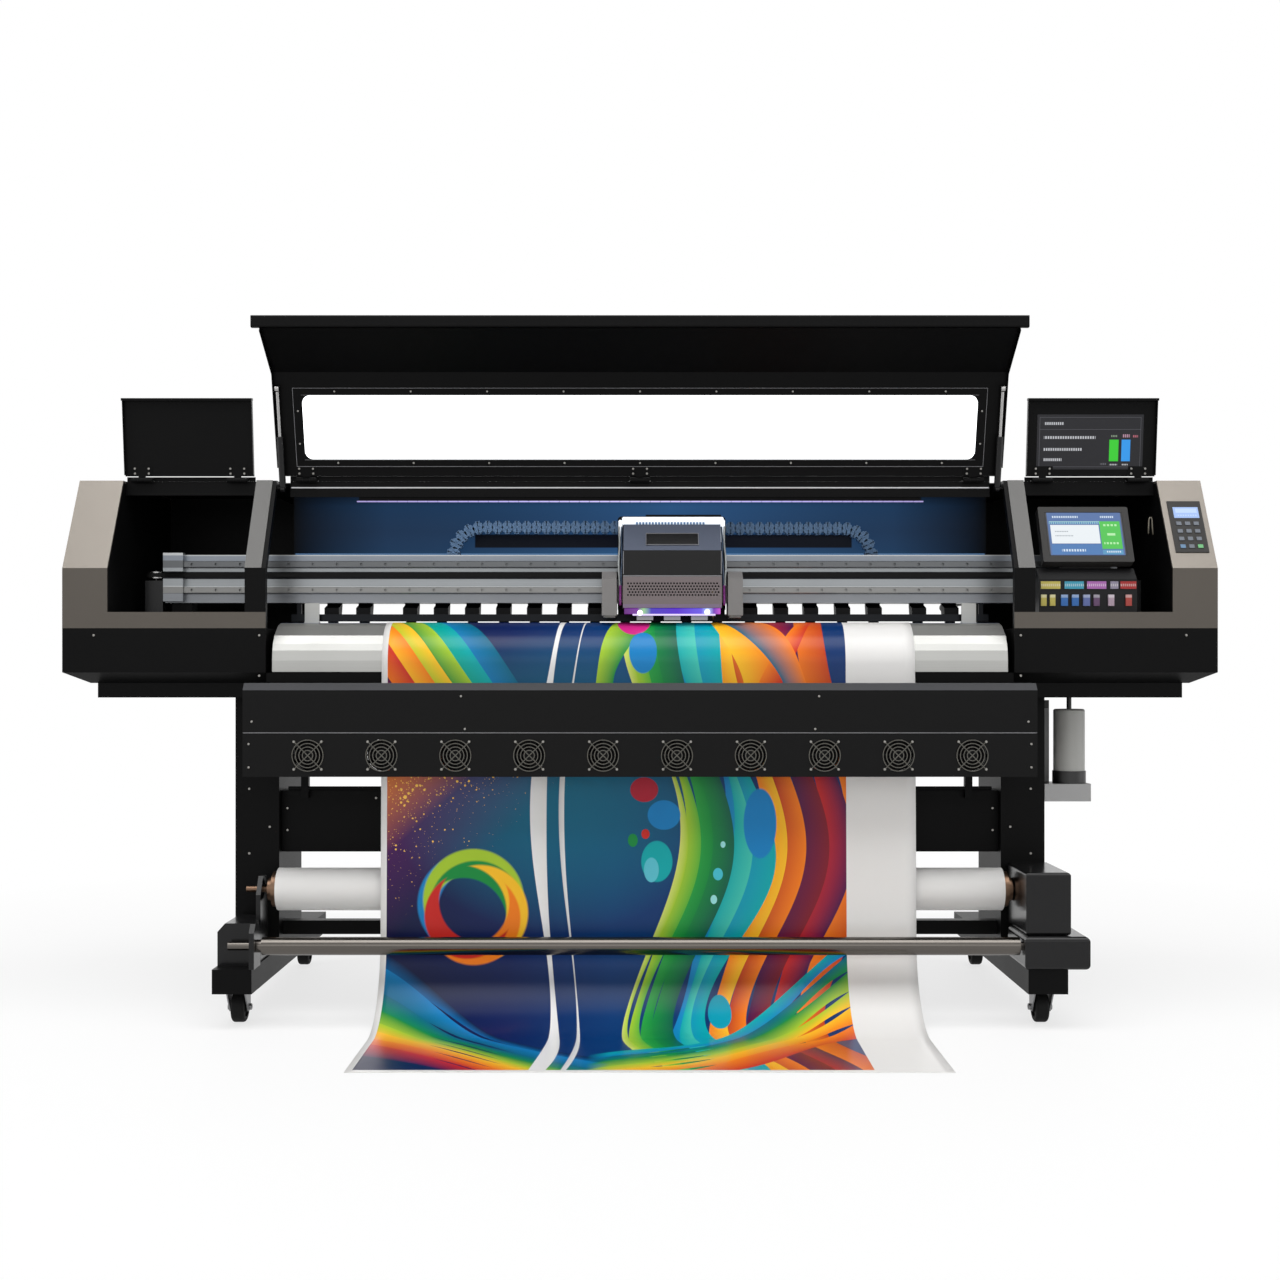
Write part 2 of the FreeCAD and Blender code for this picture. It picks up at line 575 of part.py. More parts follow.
def cover_panel():
    """Main cover, open: window leaf, flared front leaf, folded sides, grip lip and hinge halves."""
    outer, inner, flange = -6.0, -4.0, 9.0
    w = COVER_HALF
    leaf = leaf_box(COVER_LEAN, -w, w, 9, COVER_PANEL, outer, inner)
    flare = prism_x([leaf_point(COVER_LEAN, COVER_PANEL - 0.5, outer), flare_point(FLARE_LENGTH, outer),
                     flare_point(FLARE_LENGTH, inner), leaf_point(COVER_LEAN, COVER_PANEL - 0.5, inner)],
                    -w, w)
    sides = []
    for x0, x1 in ((-w, -w + 2), (w - 2, w)):
        sides.append(leaf_box(COVER_LEAN, x0, x1, 32, COVER_PANEL, outer, flange))
        sides.append(prism_x([leaf_point(COVER_LEAN, COVER_PANEL - 0.5, inner), flare_point(FLARE_LENGTH, inner),
                              flare_point(FLARE_LENGTH, flange), leaf_point(COVER_LEAN, COVER_PANEL - 4, flange)],
                             x0, x1))
    tip = flare_point(FLARE_LENGTH, inner)
    lip = box(-w - 18, w + 18, tip[0] - 14, tip[0] + 4, tip[1] - 4, tip[1] + 24)
    lip = lip.makeFillet(4.0, [e for e in lip.Edges if e.Length > 2 * w])
    ring = leaf_box(COVER_LEAN, -WINDOW_HALF - 22, WINDOW_HALF + 22, WINDOW_S[0] - 18, WINDOW_S[1] + 18,
                    inner - 0.5, inner + 2.5)
    halves = [piece for x in COVER_HINGES for piece in hinge_moving(x, COVER_LEAN)]
    hole = rounded_leaf(COVER_LEAN, WINDOW_HALF, *WINDOW_S, WINDOW_CORNER, -20, 20)
    studs = [leaf_rod(x0, x1, STRUT_S, STRUT_N, 4) for x0, x1 in ((-w + 1, -STRUT_X - 5), (STRUT_X + 5, w - 1))]
    return apart(lip, leaf.cut(hole), flare, ring.cut(hole), *sides, *halves, *studs)


def cover_window():
    """Clear acrylic pane that fills the window, flush with the inner trim."""
    return rounded_leaf(COVER_LEAN, WINDOW_HALF - 0.3, WINDOW_S[0] + 0.3, WINDOW_S[1] - 0.3,
                        WINDOW_CORNER, -5.5, -2.5)


# ---------------------------------------------------------------- gas struts of the main cover
STRUT_X = 876.0
STRUT_S = 225.0
STRUT_N = 8.0
STRUT_FOOT = (-25.0, 1280.0)
EYE_HALF = 4.7


def leaf_rod(x0, x1, s, n, r):
    """A round bar along X, placed on the open main cover."""
    return rod_x(x0, x1, *leaf_point(COVER_LEAN, s, n), r)


def along_strut(distance):
    """(y, z) of a point on the open strut, measured from its lower pivot."""
    top = leaf_point(COVER_LEAN, STRUT_S, STRUT_N)
    length = math.hypot(top[0] - STRUT_FOOT[0], top[1] - STRUT_FOOT[1])
    k = distance / length
    return (STRUT_FOOT[0] + k * (top[0] - STRUT_FOOT[0]), STRUT_FOOT[1] + k * (top[1] - STRUT_FOOT[1]))


def strut_length():
    top = leaf_point(COVER_LEAN, STRUT_S, STRUT_N)
    return math.hypot(top[0] - STRUT_FOOT[0], top[1] - STRUT_FOOT[1])


def strut_bar(x, d0, d1, r):
    """A round bar along the strut between two distances from its lower pivot."""
    p, q = along_strut(d0), along_strut(d1)
    axis = Vector(0, q[0] - p[0], q[1] - p[1])
    return Part.makeCylinder(r, axis.Length, Vector(x, *p), axis)


def strut_cylinder(x):
    """Cylinder of a gas strut, with its lower eye and a bore for the rod."""
    eye = rod_x(x - EYE_HALF, x + EYE_HALF, *STRUT_FOOT, 7.8)
    body = strut_bar(x, 5, 128, 8)
    solid = fuse(eye, body)
    solid = solid.cut(strut_bar(x, 8.5, 133, 4.06))
    return solid.cut(rod_x(x - 9, x + 9, *STRUT_FOOT, 3.06))


def strut_rod(x):
    """Rod of a gas strut, with its upper eye."""
    length = strut_length()
    rod = strut_bar(x, 112, length - 6, 4)
    eye = rod_x(x - EYE_HALF, x + EYE_HALF, *along_strut(length), 8)
    return fuse(rod, eye).cut(rod_x(x - 9, x + 9, *along_strut(length), 3.0))


def strut_stud():
    """Right-hand fixed pin on the end frame that the strut turns on."""
    return rod_x(STRUT_X - 7, BAY_HALF + 1, *STRUT_FOOT, 3)


# ---------------------------------------------------------------- guide beam, rails, belt
RAIL_PITCH = 60.0
STOP_LENGTH = 49.0


def guide_beam():
    """Hollow aluminium beam with the belt groove, on which both rails are bolted."""
    z0, z1 = BEAM_Z
    beam = box(-BEAM_HALF, BEAM_HALF, BEAM_FRONT, BEAM_REAR, z0, z1)
    beam = beam.cut(box(-BEAM_HALF - 1, BEAM_HALF + 1, BEAM_FRONT + 6, BEAM_REAR - 6, z0 + 6, z1 - 6))
    return beam.cut(box(-BEAM_HALF - 1, BEAM_HALF + 1, BEAM_FRONT - 1, BEAM_FRONT + 2,
                        BELT_Z - 8, BELT_Z + 8))


def rail_stops():
    """End stops of both rails, left and right, clear of the belt and of the carriage plate."""
    stops = []
    for side in (-1, 1):
        for z0, z1 in ((RAIL_ZS[0] - 28, BELT_Z - 7), (BELT_Z + 7, RAIL_ZS[1] + 28)):
            xa, xb = sorted((side * (BEAM_HALF - STOP_LENGTH), side * BEAM_HALF))
            stops.append(box(xa, xb, BEAM_FRONT - 21, BEAM_FRONT, z0, z1))
    return stops


def linear_rail(z):
    """One profiled rail with its counterbored screw holes."""
    half = BEAM_HALF - STOP_LENGTH
    s = RAIL_SIZE / 2
    y0, y1 = BEAM_FRONT - RAIL_SIZE, BEAM_FRONT
    rail = prism_x([(y0, z - s + 1), (y0 + 1, z - s), (y0 + 4, z - s), (y0 + 6, z - s + 2.5),
                    (y0 + 8, z - s), (y1, z - s), (y1, z + s), (y0 + 8, z + s),
                    (y0 + 6, z + s - 2.5), (y0 + 4, z + s), (y0 + 1, z + s), (y0, z + s - 1)],
                   -half, half)
    count = int(2 * (half - 20) // RAIL_PITCH)
    holes = [rod_y((i - count / 2) * RAIL_PITCH, y0 - 1, y0 + 6, z, 3.75) for i in range(count + 1)]
    return rail.cut(Part.makeCompound(holes))


def drive_belt():
    """Toothed belt, one closed loop: front run in the groove, return run inside the beam."""
    t, w = 2.0, 10.0

    def loop(r):
        flat = box(-PULLEY_X, PULLEY_X, PULLEY_Y - r, PULLEY_Y + r, BELT_Z - w / 2, BELT_Z + w / 2)
        ends = [rod_z(x, PULLEY_Y, BELT_Z - w / 2, BELT_Z + w / 2, r) for x in (-PULLEY_X, PULLEY_X)]
        return fuse(flat, *ends)

    return loop(PULLEY_R + t).cut(loop(PULLEY_R + 0.05))


def pulley(x):
    """Flanged belt pulley on a vertical axis, with a keyway that shows it turning."""
    w = 6.5
    body = rod_z(x, PULLEY_Y, BELT_Z - w, BELT_Z + w, PULLEY_R)
    flanges = [rod_z(x, PULLEY_Y, za, za + 1.5, PULLEY_R + 3.5) for za in (BELT_Z - w - 1.5, BELT_Z + w)]
    solid = fuse(body, *flanges)
    return solid.cut(fuse(rod_z(x, PULLEY_Y, BELT_Z - 20, BELT_Z + 20, 5 + RUNNING),
                          box(x - 1.5, x + 1.5, PULLEY_Y, PULLEY_Y + 7.5, BELT_Z - 20, BELT_Z + 20)))


def drive_motor():
    """Carriage motor under its pulley, and the plain bracket and pin that carry the idler."""
    motor = fuse(box(PULLEY_X - 26, PULLEY_X + 34, PULLEY_Y - 30, PULLEY_Y + 30, 958, BELT_Z - 14),
                 rod_z(PULLEY_X, PULLEY_Y, BELT_Z - 15, BELT_Z + 12, 5))
    motor = fuse(motor, box(PULLEY_X - 12, PULLEY_X + 12, PULLEY_Y - 12, PULLEY_Y + 12, DECK_Z, 960))
    idler = fuse(box(-PULLEY_X - 22, -PULLEY_X + 22, PULLEY_Y - 20, PULLEY_Y + 20, DECK_Z, BELT_Z - 14),
                 rod_z(-PULLEY_X, PULLEY_Y, BELT_Z - 15, BELT_Z + 12, 5))
    return motor, idler


# ---------------------------------------------------------------- pinch rollers
PINCH_XS = [-771, -692, -575, -498, -420, -342, -265, -190, -113, -37, 40, 117, 194, 276, 353, 428,
            508, 587, 698, 779]
HANGER_XS = (-866, -305, 313, 866)


def pinch_supports():
    """Pivot shaft on hangers below the beam, and the hold-down strip in front of the rollers."""
    y, z = PINCH_PIVOT
    hangers = [box(x - 5, x + 5, BEAM_REAR, y + 7, z - 4, z + 9) for x in HANGER_XS]
    shafts = [rod_x(xa + 5, xb - 5, y, z, 4) for xa, xb in zip(HANGER_XS, HANGER_XS[1:])]
    return [*hangers, *shafts]


def hold_down():
    """Thin strip between the rollers and the carriage that keeps the web flat."""
    strip = box(-870, 870, 44, 47, MEDIA_Z + 6, MEDIA_Z + 24)
    feet = [box(x - 6, x + 6, 44, 47, MEDIA_Z + 24, BEAM_Z[0]) for x in (-850, 850)]
    return [strip, *feet]


def pinch_arms():
    """Every pinch arm on one lifting bar, with the release lever out of the back of the machine."""
    y, z = PINCH_PIVOT
    bar = box(-838, 838, 94, 108, z - 10, z + 9)
    slots = [box(x - 7, x + 7, 80, 120, z - 5.5, z + 20) for x in HANGER_XS]
    bar = bar.cut(Part.makeCompound(slots))
    shapes = [bar]
    for x in PINCH_XS:
        arm = prism_x([(54, 962), (54, 990), (90, 998), (94, 1004), (106, 1004), (106, 996), (92, 962)],
                      x - 18, x + 18)
        shapes.append(arm)
    lever = fuse(box(820, 838, 100, 424, z - 10, z - 2), rod_y(829, 410, 446, z - 8, 11))
    shapes.append(lever)
    solid = fuse(*shapes)
    pockets = [box(x - 13, x + 13, FEED_Y - PINCH_R - 1, FEED_Y + PINCH_R + 1, 950, 974) for x in PINCH_XS]
    solid = solid.cut(Part.makeCompound(pockets)).cut(rod_x(-880, 880, y, z, 4 + RUNNING))
    pins = [rod_x(x - 15, x + 15, FEED_Y, roller_axis_z(), 2.5) for x in PINCH_XS]
    return fuse(solid, *pins)


def roller_axis_z():
    """Height of the line that all pinch rollers turn on, just clear of the web."""
    return MEDIA_Z + 0.2 + MEDIA_T + PINCH_R + 0.3


def pinch_rollers():
    """The rubber rollers, all on one line."""
    z = roller_axis_z()
    rollers = [rod_x(x - 12, x + 12, FEED_Y, z, PINCH_R) for x in PINCH_XS]
    return [roller.cut(rod_x(-880, 880, FEED_Y, z, 2.5 + RUNNING)) for roller in rollers]


def grit_roller():
    """Feed shaft under the web, with a narrower journal at each end."""
    z = MEDIA_Z - 0.1 - GRIT_R
    body = rod_x(-870, 870, FEED_Y, z, GRIT_R)
    journals = rod_x(-889, 889, FEED_Y, z, 7)
    flat = box(-872, 872, FEED_Y + GRIT_R - 0.6, FEED_Y + GRIT_R + 1, z - 10, z + 10)
    return fuse(body.cut(flat), journals)


# ---------------------------------------------------------------- carriage
PLATE_HALF = 133.0
COVER_BOX_HALF = 118.0


def carriage_plate():
    """Back plate with four bearing blocks, the head shelf, the chain arm and the belt clamp."""
    x = CARRIAGE_X
    plate = box(x - PLATE_HALF, x + PLATE_HALF, 0, 8, 984, 1214)
    corner = [e for e in plate.Edges if abs(e.Length - 8) < 0.01 and e.CenterOfMass.z > 1200]
    plate = plate.makeFillet(9.0, corner)
    shelf = box(x - COVER_BOX_HALF + 4, x + COVER_BOX_HALF - 4, -92, 0, 984, 989)
    cheeks = [prism_x([(0, 989), (-60, 989), (0, 1080)], xc - 2, xc + 2) for xc in (x - 112, x + 112)]
    arm = box(x - 64, x + 122, 0, CHAIN_YS[1][1], 1214.5, 1218.5)
    arm = arm.fuse(box(x - 64, x + 122, 0, 8, 1205, 1218.5))
    blocks = []
    for z in RAIL_ZS:
        for xc in (x - 68, x + 68):
            block = box(xc - 26, xc + 26, 8, 25, z - 17, z + 17)
            gap = RAIL_SIZE / 2 + 0.4
            blocks.append(block.cut(box(xc - 27, xc + 27, BEAM_FRONT - RAIL_SIZE - 0.4, 26, z - gap, z + gap)))
    clamp = box(x - 20, x + 20, 8, 21.5, BELT_Z - 6, BELT_Z + 6)
    solid = fuse(plate, shelf, arm, *cheeks, *blocks, clamp)
    holes = [box(xc - 20.5, xc + 20.5, -78.5, -17.5, 980, 995) for xc in HEAD_XS]
    holes.append(rod_z(BLADE_X, GROOVE_Y, 980, 995, BLADE_R + RUNNING))
    return solid.cut(Part.makeCompound(holes))


HEAD_XS = [CARRIAGE_X + d for d in (-66.0, 0.0, 66.0)]
GROOVE_Y = -18.0
BLADE_X = CARRIAGE_X + 101.0
BLADE_R = 6.0


def blade_holder():
    """Cross-cutting knife in the carriage: round holder through the shelf, knurled cap and blade tip."""
    body = rod_z(BLADE_X, GROOVE_Y, 966, 1022, BLADE_R)
    cap = rod_z(BLADE_X, GROOVE_Y, 1020, 1034, BLADE_R + 1.5)
    tip = Part.makeCone(0.4, 3.5, 9.2, Vector(BLADE_X, GROOVE_Y, 957))
    return fuse(body, cap, tip)


def print_heads():
    """Three print heads that hang through the shelf, flanges resting on it."""
    heads = []
    for xc in HEAD_XS:
        body = box(xc - 20, xc + 20, -78, -18, 956, 1010)
        flange = box(xc - 27, xc + 27, -86, -10, 989, 993)
        ports = [rod_z(xc + dx, -48, 1010, 1026, 4) for dx in (-10, 10)]
        heads.append(fuse(body, flange, *ports))
    return heads


def carriage_outline(inset):
    """(y, z) outline of the carriage's upper cover."""
    return [(-100 + inset, 1061), (-100 + inset, 1124 - inset * 0.4), (-52 + inset * 0.4, 1190 - inset),
            (0, 1190 - inset), (0, 1061)]


def carriage_cover():
    """Upper cover of the carriage, open below and behind."""
    x, w = CARRIAGE_X, COVER_BOX_HALF
    solid = prism_x(carriage_outline(0), x - w, x + w)
    hollow = prism_x([(y + (2 if y > -5 else 0), z - (1 if z < 1065 else 0)) for y, z in carriage_outline(2.5)],
                     x - w + 2.5, x + w - 2.5)
    return solid.cut(hollow)


GRILLE_PITCH = 7.4


def carriage_grille():
    """Perforated lower cover of the carriage, folded back at its sides."""
    x, w = CARRIAGE_X, COVER_BOX_HALF + 1
    z0, z1 = 985, 1060.5
    shell = box(x - w, x + w, -102, 0, z0, z1)
    shell = shell.cut(box(x - w + 2, x + w - 2, -100, 1, z0 - 1, z1 + 1))
    holes = []
    for row in range(5):
        shift = 0 if row % 2 == 0 else GRILLE_PITCH / 2
        z = 1016 + row * GRILLE_PITCH * 0.95
        for col in range(30):
            holes.append(rod_y(x - 107 + shift + col * GRILLE_PITCH, -104, -98, z, 2.3))
    return shell.cut(Part.makeCompound(holes))


def curing_lamp():
    """Right-hand curing lamp of the carriage, relative to the carriage's middle."""
    outline = [(-99, 967), (-99, 1056), (-72, 1074), (-14, 1074), (-14, 967)]
    lamp = prism_x(outline, 134.5, 170)
    ear = box(119, 136, -60, -40, 1000, 1040)
    lens = box(138, 166, -92, -22, 962, 967)
    return fuse(lamp, ear, lens)


def lamps():
    """Both curing lamps, one each side of the carriage."""
    right = curing_lamp()
    out = []
    for lamp in (right, mirror(right)):
        moved = lamp.copy()
        moved.translate(Vector(CARRIAGE_X, 0, 0))
        out.append(moved)
    return out


def chain_loop(x, side, ys):
    """Bend and lower run of a cable chain. side is -1 for the bend on the left."""
    y0, y1 = ys
    zc = CHAIN_TOP_Z - CHAIN_BEND_R
    ring = rod_y(x, y0, y1, zc, CHAIN_BEND_R + CHAIN_T / 2)
    ring = ring.cut(rod_y(x, y0 - 1, y1 + 1, zc, CHAIN_BEND_R - CHAIN_T / 2))
    half = box(x - 200, x, y0, y1, zc - 200, zc + 200)
    if side > 0:
        half = box(x, x + 200, y0, y1, zc - 200, zc + 200)
    bend = ring.common(half)
    z_low = zc - CHAIN_BEND_R
    xa, xb = sorted((x, x - side * 380))
    return fuse(bend, box(xa, xb, y0, y1, z_low - CHAIN_T / 2, z_low + CHAIN_T / 2))


def chain_upper(x, end, ys):
    """Upper run of a cable chain, from its bend to the arm of the carriage."""
    xa, xb = sorted((x, end))
    return box(xa, xb, *ys, CHAIN_TOP_Z - CHAIN_T / 2, CHAIN_TOP_Z + CHAIN_T / 2)


# ---------------------------------------------------------------- dryer and fans
def fan_xs():
    step = -2 * FAN_FIRST_X / (FAN_COUNT - 1)
    return [FAN_FIRST_X + i * step for i in range(FAN_COUNT)]


def dryer_housing():
    """Heated hood above the fans, open behind, with end plates and the two mounting arms."""
    y0, y1 = DRYER_Y
    w = DRYER_HALF
    outline = [(y0, DRYER_SEAM), (y0, DRYER_TOP - 16), (y0 + 15, DRYER_TOP), (y1, DRYER_TOP), (y1, DRYER_SEAM)]
    hood = prism_x(outline, -w, w)
    hollow = prism_x([(y0 + SKIN, DRYER_SEAM + SKIN), (y0 + SKIN, DRYER_TOP - 18), (y0 + 17, DRYER_TOP - SKIN),
                      (y1 + 1, DRYER_TOP - SKIN), (y1 + 1, DRYER_SEAM + SKIN)], -w + SKIN, w - SKIN)
    arms = []
    for side in (-1, 1):
        xa, xb = sorted((side * (w - 16), side * w))
        arms.append(box(xa, xb, y1, LEG_Y[0], DRYER_SEAM - 2, DRYER_SEAM + 50))
    return fuse(hood.cut(hollow), *arms)


def fan_panel():
    """Lower front panel with a round opening for each fan, a bottom return and end plates."""
    y0, y1 = DRYER_Y
    w = DRYER_HALF
    z0, z1 = DRYER_BOTTOM, DRYER_SEAM - 1.2
    plate = box(-w, w, y0, y0 + SKIN, z0, z1)
    floor = box(-w, w, y0, y1, z0, z0 + SKIN)
    ends = [box(xa, xa + SKIN, y0, y1, z0, z1) for xa in (-w, w - SKIN)]
    flange = box(-w + 20, w - 20, y0 + SKIN, y0 + 2 * SKIN, z1 - 6, DRYER_SEAM)
    solid = fuse(plate, floor, flange, *ends)
    holes = [rod_y(x, y0 - 1, y0 + SKIN + 1, FAN_Z, FAN_BORE_R) for x in fan_xs()]
    return solid.cut(Part.makeCompound(holes))


FAN_DEPTH = 25.0


def fan_frame(x):
    """Square fan frame with a round duct and a rear spider that carries the motor."""
    half = FAN_SIZE / 2
    y0 = DRYER_Y[0] + SKIN
    frame = box(x - half, x + half, y0, y0 + FAN_DEPTH, FAN_Z - half, FAN_Z + half)
    frame = frame.cut(rod_y(x, y0 - 1, y0 + FAN_DEPTH + 1, FAN_Z, FAN_BORE_R))
    back = y0 + FAN_DEPTH
    spider = fuse(box(x - FAN_BORE_R - 1, x + FAN_BORE_R + 1, back - 3, back, FAN_Z - 2, FAN_Z + 2),
                  box(x - 2, x + 2, back - 3, back, FAN_Z - FAN_BORE_R - 1, FAN_Z + FAN_BORE_R + 1),
                  rod_y(x, back - 3, back, FAN_Z, 15))
    pin = rod_y(x, back - 16, back - 2, FAN_Z, 2)
    return fuse(frame, spider, pin)


def fan_guard(x):
    """Finger guard: four flat rings on two diagonal bars, with four screw feet."""
    y0 = DRYER_Y[0]
    rings = [rod_y(x, y0 - 3, y0 - 1.4, FAN_Z, r + 1).cut(rod_y(x, y0 - 4, y0, FAN_Z, r - 1))
             for r in (12, 20, 28, 36)]
    bars = []
    for angle in (45, 135):
        bar = box(-48, 48, y0 - 1.6, y0 - 0.4, -1.2, 1.2)
        bar.rotate(Vector(0, 0, 0), Vector(0, 1, 0), angle)
        bar.translate(Vector(x, 0, FAN_Z))
        bars.append(bar)
    feet = [rod_y(x + dx, y0 - 2, y0, FAN_Z + dz, 3.4) for dx in (-32, 32) for dz in (-32, 32)]
    return fuse(*rings, *bars, *feet)


def fan_rotor(x):
    """Fan hub with seven pitched blades."""
    y0 = DRYER_Y[0] + SKIN + 2
    hub = rod_y(x, y0, y0 + 17, FAN_Z, 15)
    shapes = [hub]
    for i in range(7):
        blade = Part.makeBox(21.5, 13, 1.8, Vector(14, -6.5, -0.9))
        blade.rotate(Vector(0, 0, 0), Vector(1, 0, 0), 38)
        blade.translate(Vector(0, y0 + 8.5, 0))
        blade.rotate(Vector(0, 0, 0), Vector(0, 1, 0), i * 360 / 7)
        blade.translate(Vector(x, 0, FAN_Z))
        shapes.append(blade)
    solid = fuse(*shapes)
    return solid.cut(rod_y(x, y0 + 4, y0 + 20, FAN_Z, 2 + RUNNING))


# ---------------------------------------------------------------- take-up and supply
SPINDLE_R = 8.0
CHUCK_R = 33.0
ROLL_END = 870.0


def takeup_mount():
    """Left bearing block of the take-up: foot block, spindle arm and bearing plate of the bar."""
    block = prism_y([(-990, FOOT_Z[1]), (-906, FOOT_Z[1]), (-906, 242), (-972, 242), (-990, 222)], -212, -62)
    arm = prism_x([(-150, FOOT_Z[1]), (-60, FOOT_Z[1]), (-60, 300), (-78, 342), (-122, 342), (-150, 300)],
                  -914, -903)
    plate = prism_x([(-262, FOOT_Z[1]), (-196, FOOT_Z[1]), (-196, 226), (-212, 246), (-246, 246), (-262, 226)],
                    -905, -893)
    solid = fuse(block, arm, plate)
    holes = [rod_x(-1000, -880, ROLL_Y, ROLL_Z, SPINDLE_R + RUNNING),
             rod_x(-1000, -880, BAR_Y, BAR_Z, 10 + RUNNING)]
    return solid.cut(Part.makeCompound(holes))


def rounded_block(x0, x1, y0, y1, z0, z1, r):
    """A box whose long edges along Y and front edges are rounded."""
    block = box(x0, x1, y0, y1, z0, z1)
    edges = [e for e in block.Edges if abs(e.Length - (y1 - y0)) < 0.01]
    edges += [e for e in block.Edges if e.CenterOfMass.y < y0 + 0.01 and abs(e.Length - (x1 - x0)) < 0.01]
    return block.makeFillet(r, edges)


def takeup_drive():
    """Motor box of the take-up roll and, below it, the gearbox of the front bar."""
    motor = rounded_block(896, 1000, -250, LEG_Y[0], 219, 365, 8)
    gearbox = rounded_block(889, 1040, -270, -90, FOOT_Z[1], 219, 12)
    return (motor.cut(rod_x(880, 1050, ROLL_Y, ROLL_Z, SPINDLE_R + RUNNING)),
            gearbox.cut(rod_x(880, 935, BAR_Y, BAR_Z, 10 + RUNNING)))


def takeup_spindle():
    """Spindle through the roll with both core chucks and the hand knob."""
    shaft = rod_x(-947, 1012, ROLL_Y, ROLL_Z, SPINDLE_R)
    shapes = [shaft]
    for side in (-1, 1):
        for d0, d1, r in ((ROLL_END - 50, ROLL_END, CORE_R - 0.1), (ROLL_END, ROLL_END + 12, CORE_R + 4),
                          (ROLL_END + 12, ROLL_END + 23, CHUCK_R - 5)):
            xa, xb = sorted((side * d0, side * d1))
            shapes.append(rod_x(xa, xb, ROLL_Y, ROLL_Z, r))
    knob = rod_x(1003, 1027, ROLL_Y, ROLL_Z, 43)
    knob = knob.makeFillet(4.0, [e for e in knob.Edges if e.CenterOfMass.x > 1026])
    grips = [rod_x(1002, 1028, ROLL_Y + 46 * math.cos(a), ROLL_Z + 46 * math.sin(a), 6)
             for a in [i * math.pi / 6 for i in range(12)]]
    shapes.append(knob.cut(Part.makeCompound(grips)))
    return fuse(*shapes)


def takeup_roll():
    """Cardboard core with a few turns of white film."""
    roll = rod_x(-ROLL_END, ROLL_END, ROLL_Y, ROLL_Z, ROLL_R)
    return roll.cut(rod_x(-ROLL_END - 1, ROLL_END + 1, ROLL_Y, ROLL_Z, CORE_R))


def tension_bar():
    """Steel tube that keeps the print off the stand, on stub shafts."""
    return fuse(rod_x(-880, 884, BAR_Y, BAR_Z, BAR_R), rod_x(-960, 930, BAR_Y, BAR_Z, 10),
                rod_x(-892, -880, BAR_Y, BAR_Z, 15))


def supply_roll():
    """Supply roll of blank film on its shaft, behind the machine."""
    half = MEDIA_WIDTH / 2
    shaft = rod_x(-905, 905, SUPPLY_Y, SUPPLY_Z, SUPPLY_SHAFT_R)
    roll = rod_x(MEDIA_X - half, MEDIA_X + half, SUPPLY_Y, SUPPLY_Z, SUPPLY_R - 0.2)
    stops = [rod_x(xa, xa + 14, SUPPLY_Y, SUPPLY_Z, SUPPLY_R - 22)
             for xa in (MEDIA_X - half - 14, MEDIA_X + half)]
    return fuse(shaft, roll, *stops)


# ---------------------------------------------------------------- operator's side
SCREEN_X = 1081.0
SCREEN_FOOT = (-105.0, 1096.0)
SCREEN_ANGLE = 25.0


def screen_block(x0, x1, s0, s1, n0, n1):
    """A box in the frame of the tilted screen: s up its face, n into its body."""
    a = math.radians(SCREEN_ANGLE)
    up, back = (math.sin(a), math.cos(a)), (math.cos(a), -math.sin(a))
    pts = [(SCREEN_FOOT[0] + s * up[0] + n * back[0], SCREEN_FOOT[1] + s * up[1] + n * back[1])
           for s, n in ((s0, n0), (s1, n0), (s1, n1), (s0, n1))]
    return prism_x(pts, SCREEN_X + x0, SCREEN_X + x1)


def touch_screen():
    """Tilted touch screen: housing with a recessed glass, and the neck that stands on the console."""
    case = screen_block(-109.5, 109.5, 0, 152, 0, 26)
    case = case.makeFillet(4.0, [e for e in case.Edges if abs(e.Length - 26) < 0.01])
    case = case.cut(screen_block(-94, 94, 17, 137, -1, 1.5))
    glass = screen_block(-93.5, 93.5, 17.5, 136.5, 0.8, 1.5)
    neck = box(SCREEN_X - 60, SCREEN_X + 60, -74, -50, 1081, 1112).cut(screen_block(-120, 120, -60, 200, -80, 26))
    return fuse(case, neck), glass


def ink_station():
    """Console with eight valve caps below five coloured label strips."""
    body = prism_x([(-118, 946), (-118, 1054), (-88, 1081), (-40, 1081), (-40, 946)], 957, 1192)
    deck_foot = box(957, 1192, -118, -40, DECK_Z, 947)
    caps = [(961, 13), (982, 13), (1009, 16), (1035, 16), (1062, 16), (1087, 14), (1122, 14), (1164, 14)]
    shapes = [fuse(body, deck_foot)]
    shapes += [box(x, x + w, -124, -118, 989, 1016) for x, w in caps]
    labels = [(961, 47), (1018, 46), (1072, 46), (1128, 19), (1152, 38)]
    shapes += [box(x, x + w, -120, -118, 1030, 1048) for x, w in labels]
    return shapes


def slope_frame(x0, x1, s0, s1, n0, n1):
    """A box on the cabinet's slope: s up the slope from its lower edge, n outwards."""
    run = math.hypot(SLOPE_TOP_Y - FRONT_Y, TOP_Z - BEND_Z)
    up = ((SLOPE_TOP_Y - FRONT_Y) / run, (TOP_Z - BEND_Z) / run)
    out = (-up[1], up[0])
    pts = [(FRONT_Y + s * up[0] + n * out[0], BEND_Z + s * up[1] + n * out[1])
           for s, n in ((s0, n0), (s1, n0), (s1, n1), (s0, n1))]
    return prism_x(pts, x0, x1)


KEYPAD_X = (1282.0, 1362.0)
KEYPAD_S = (44.0, 192.0)


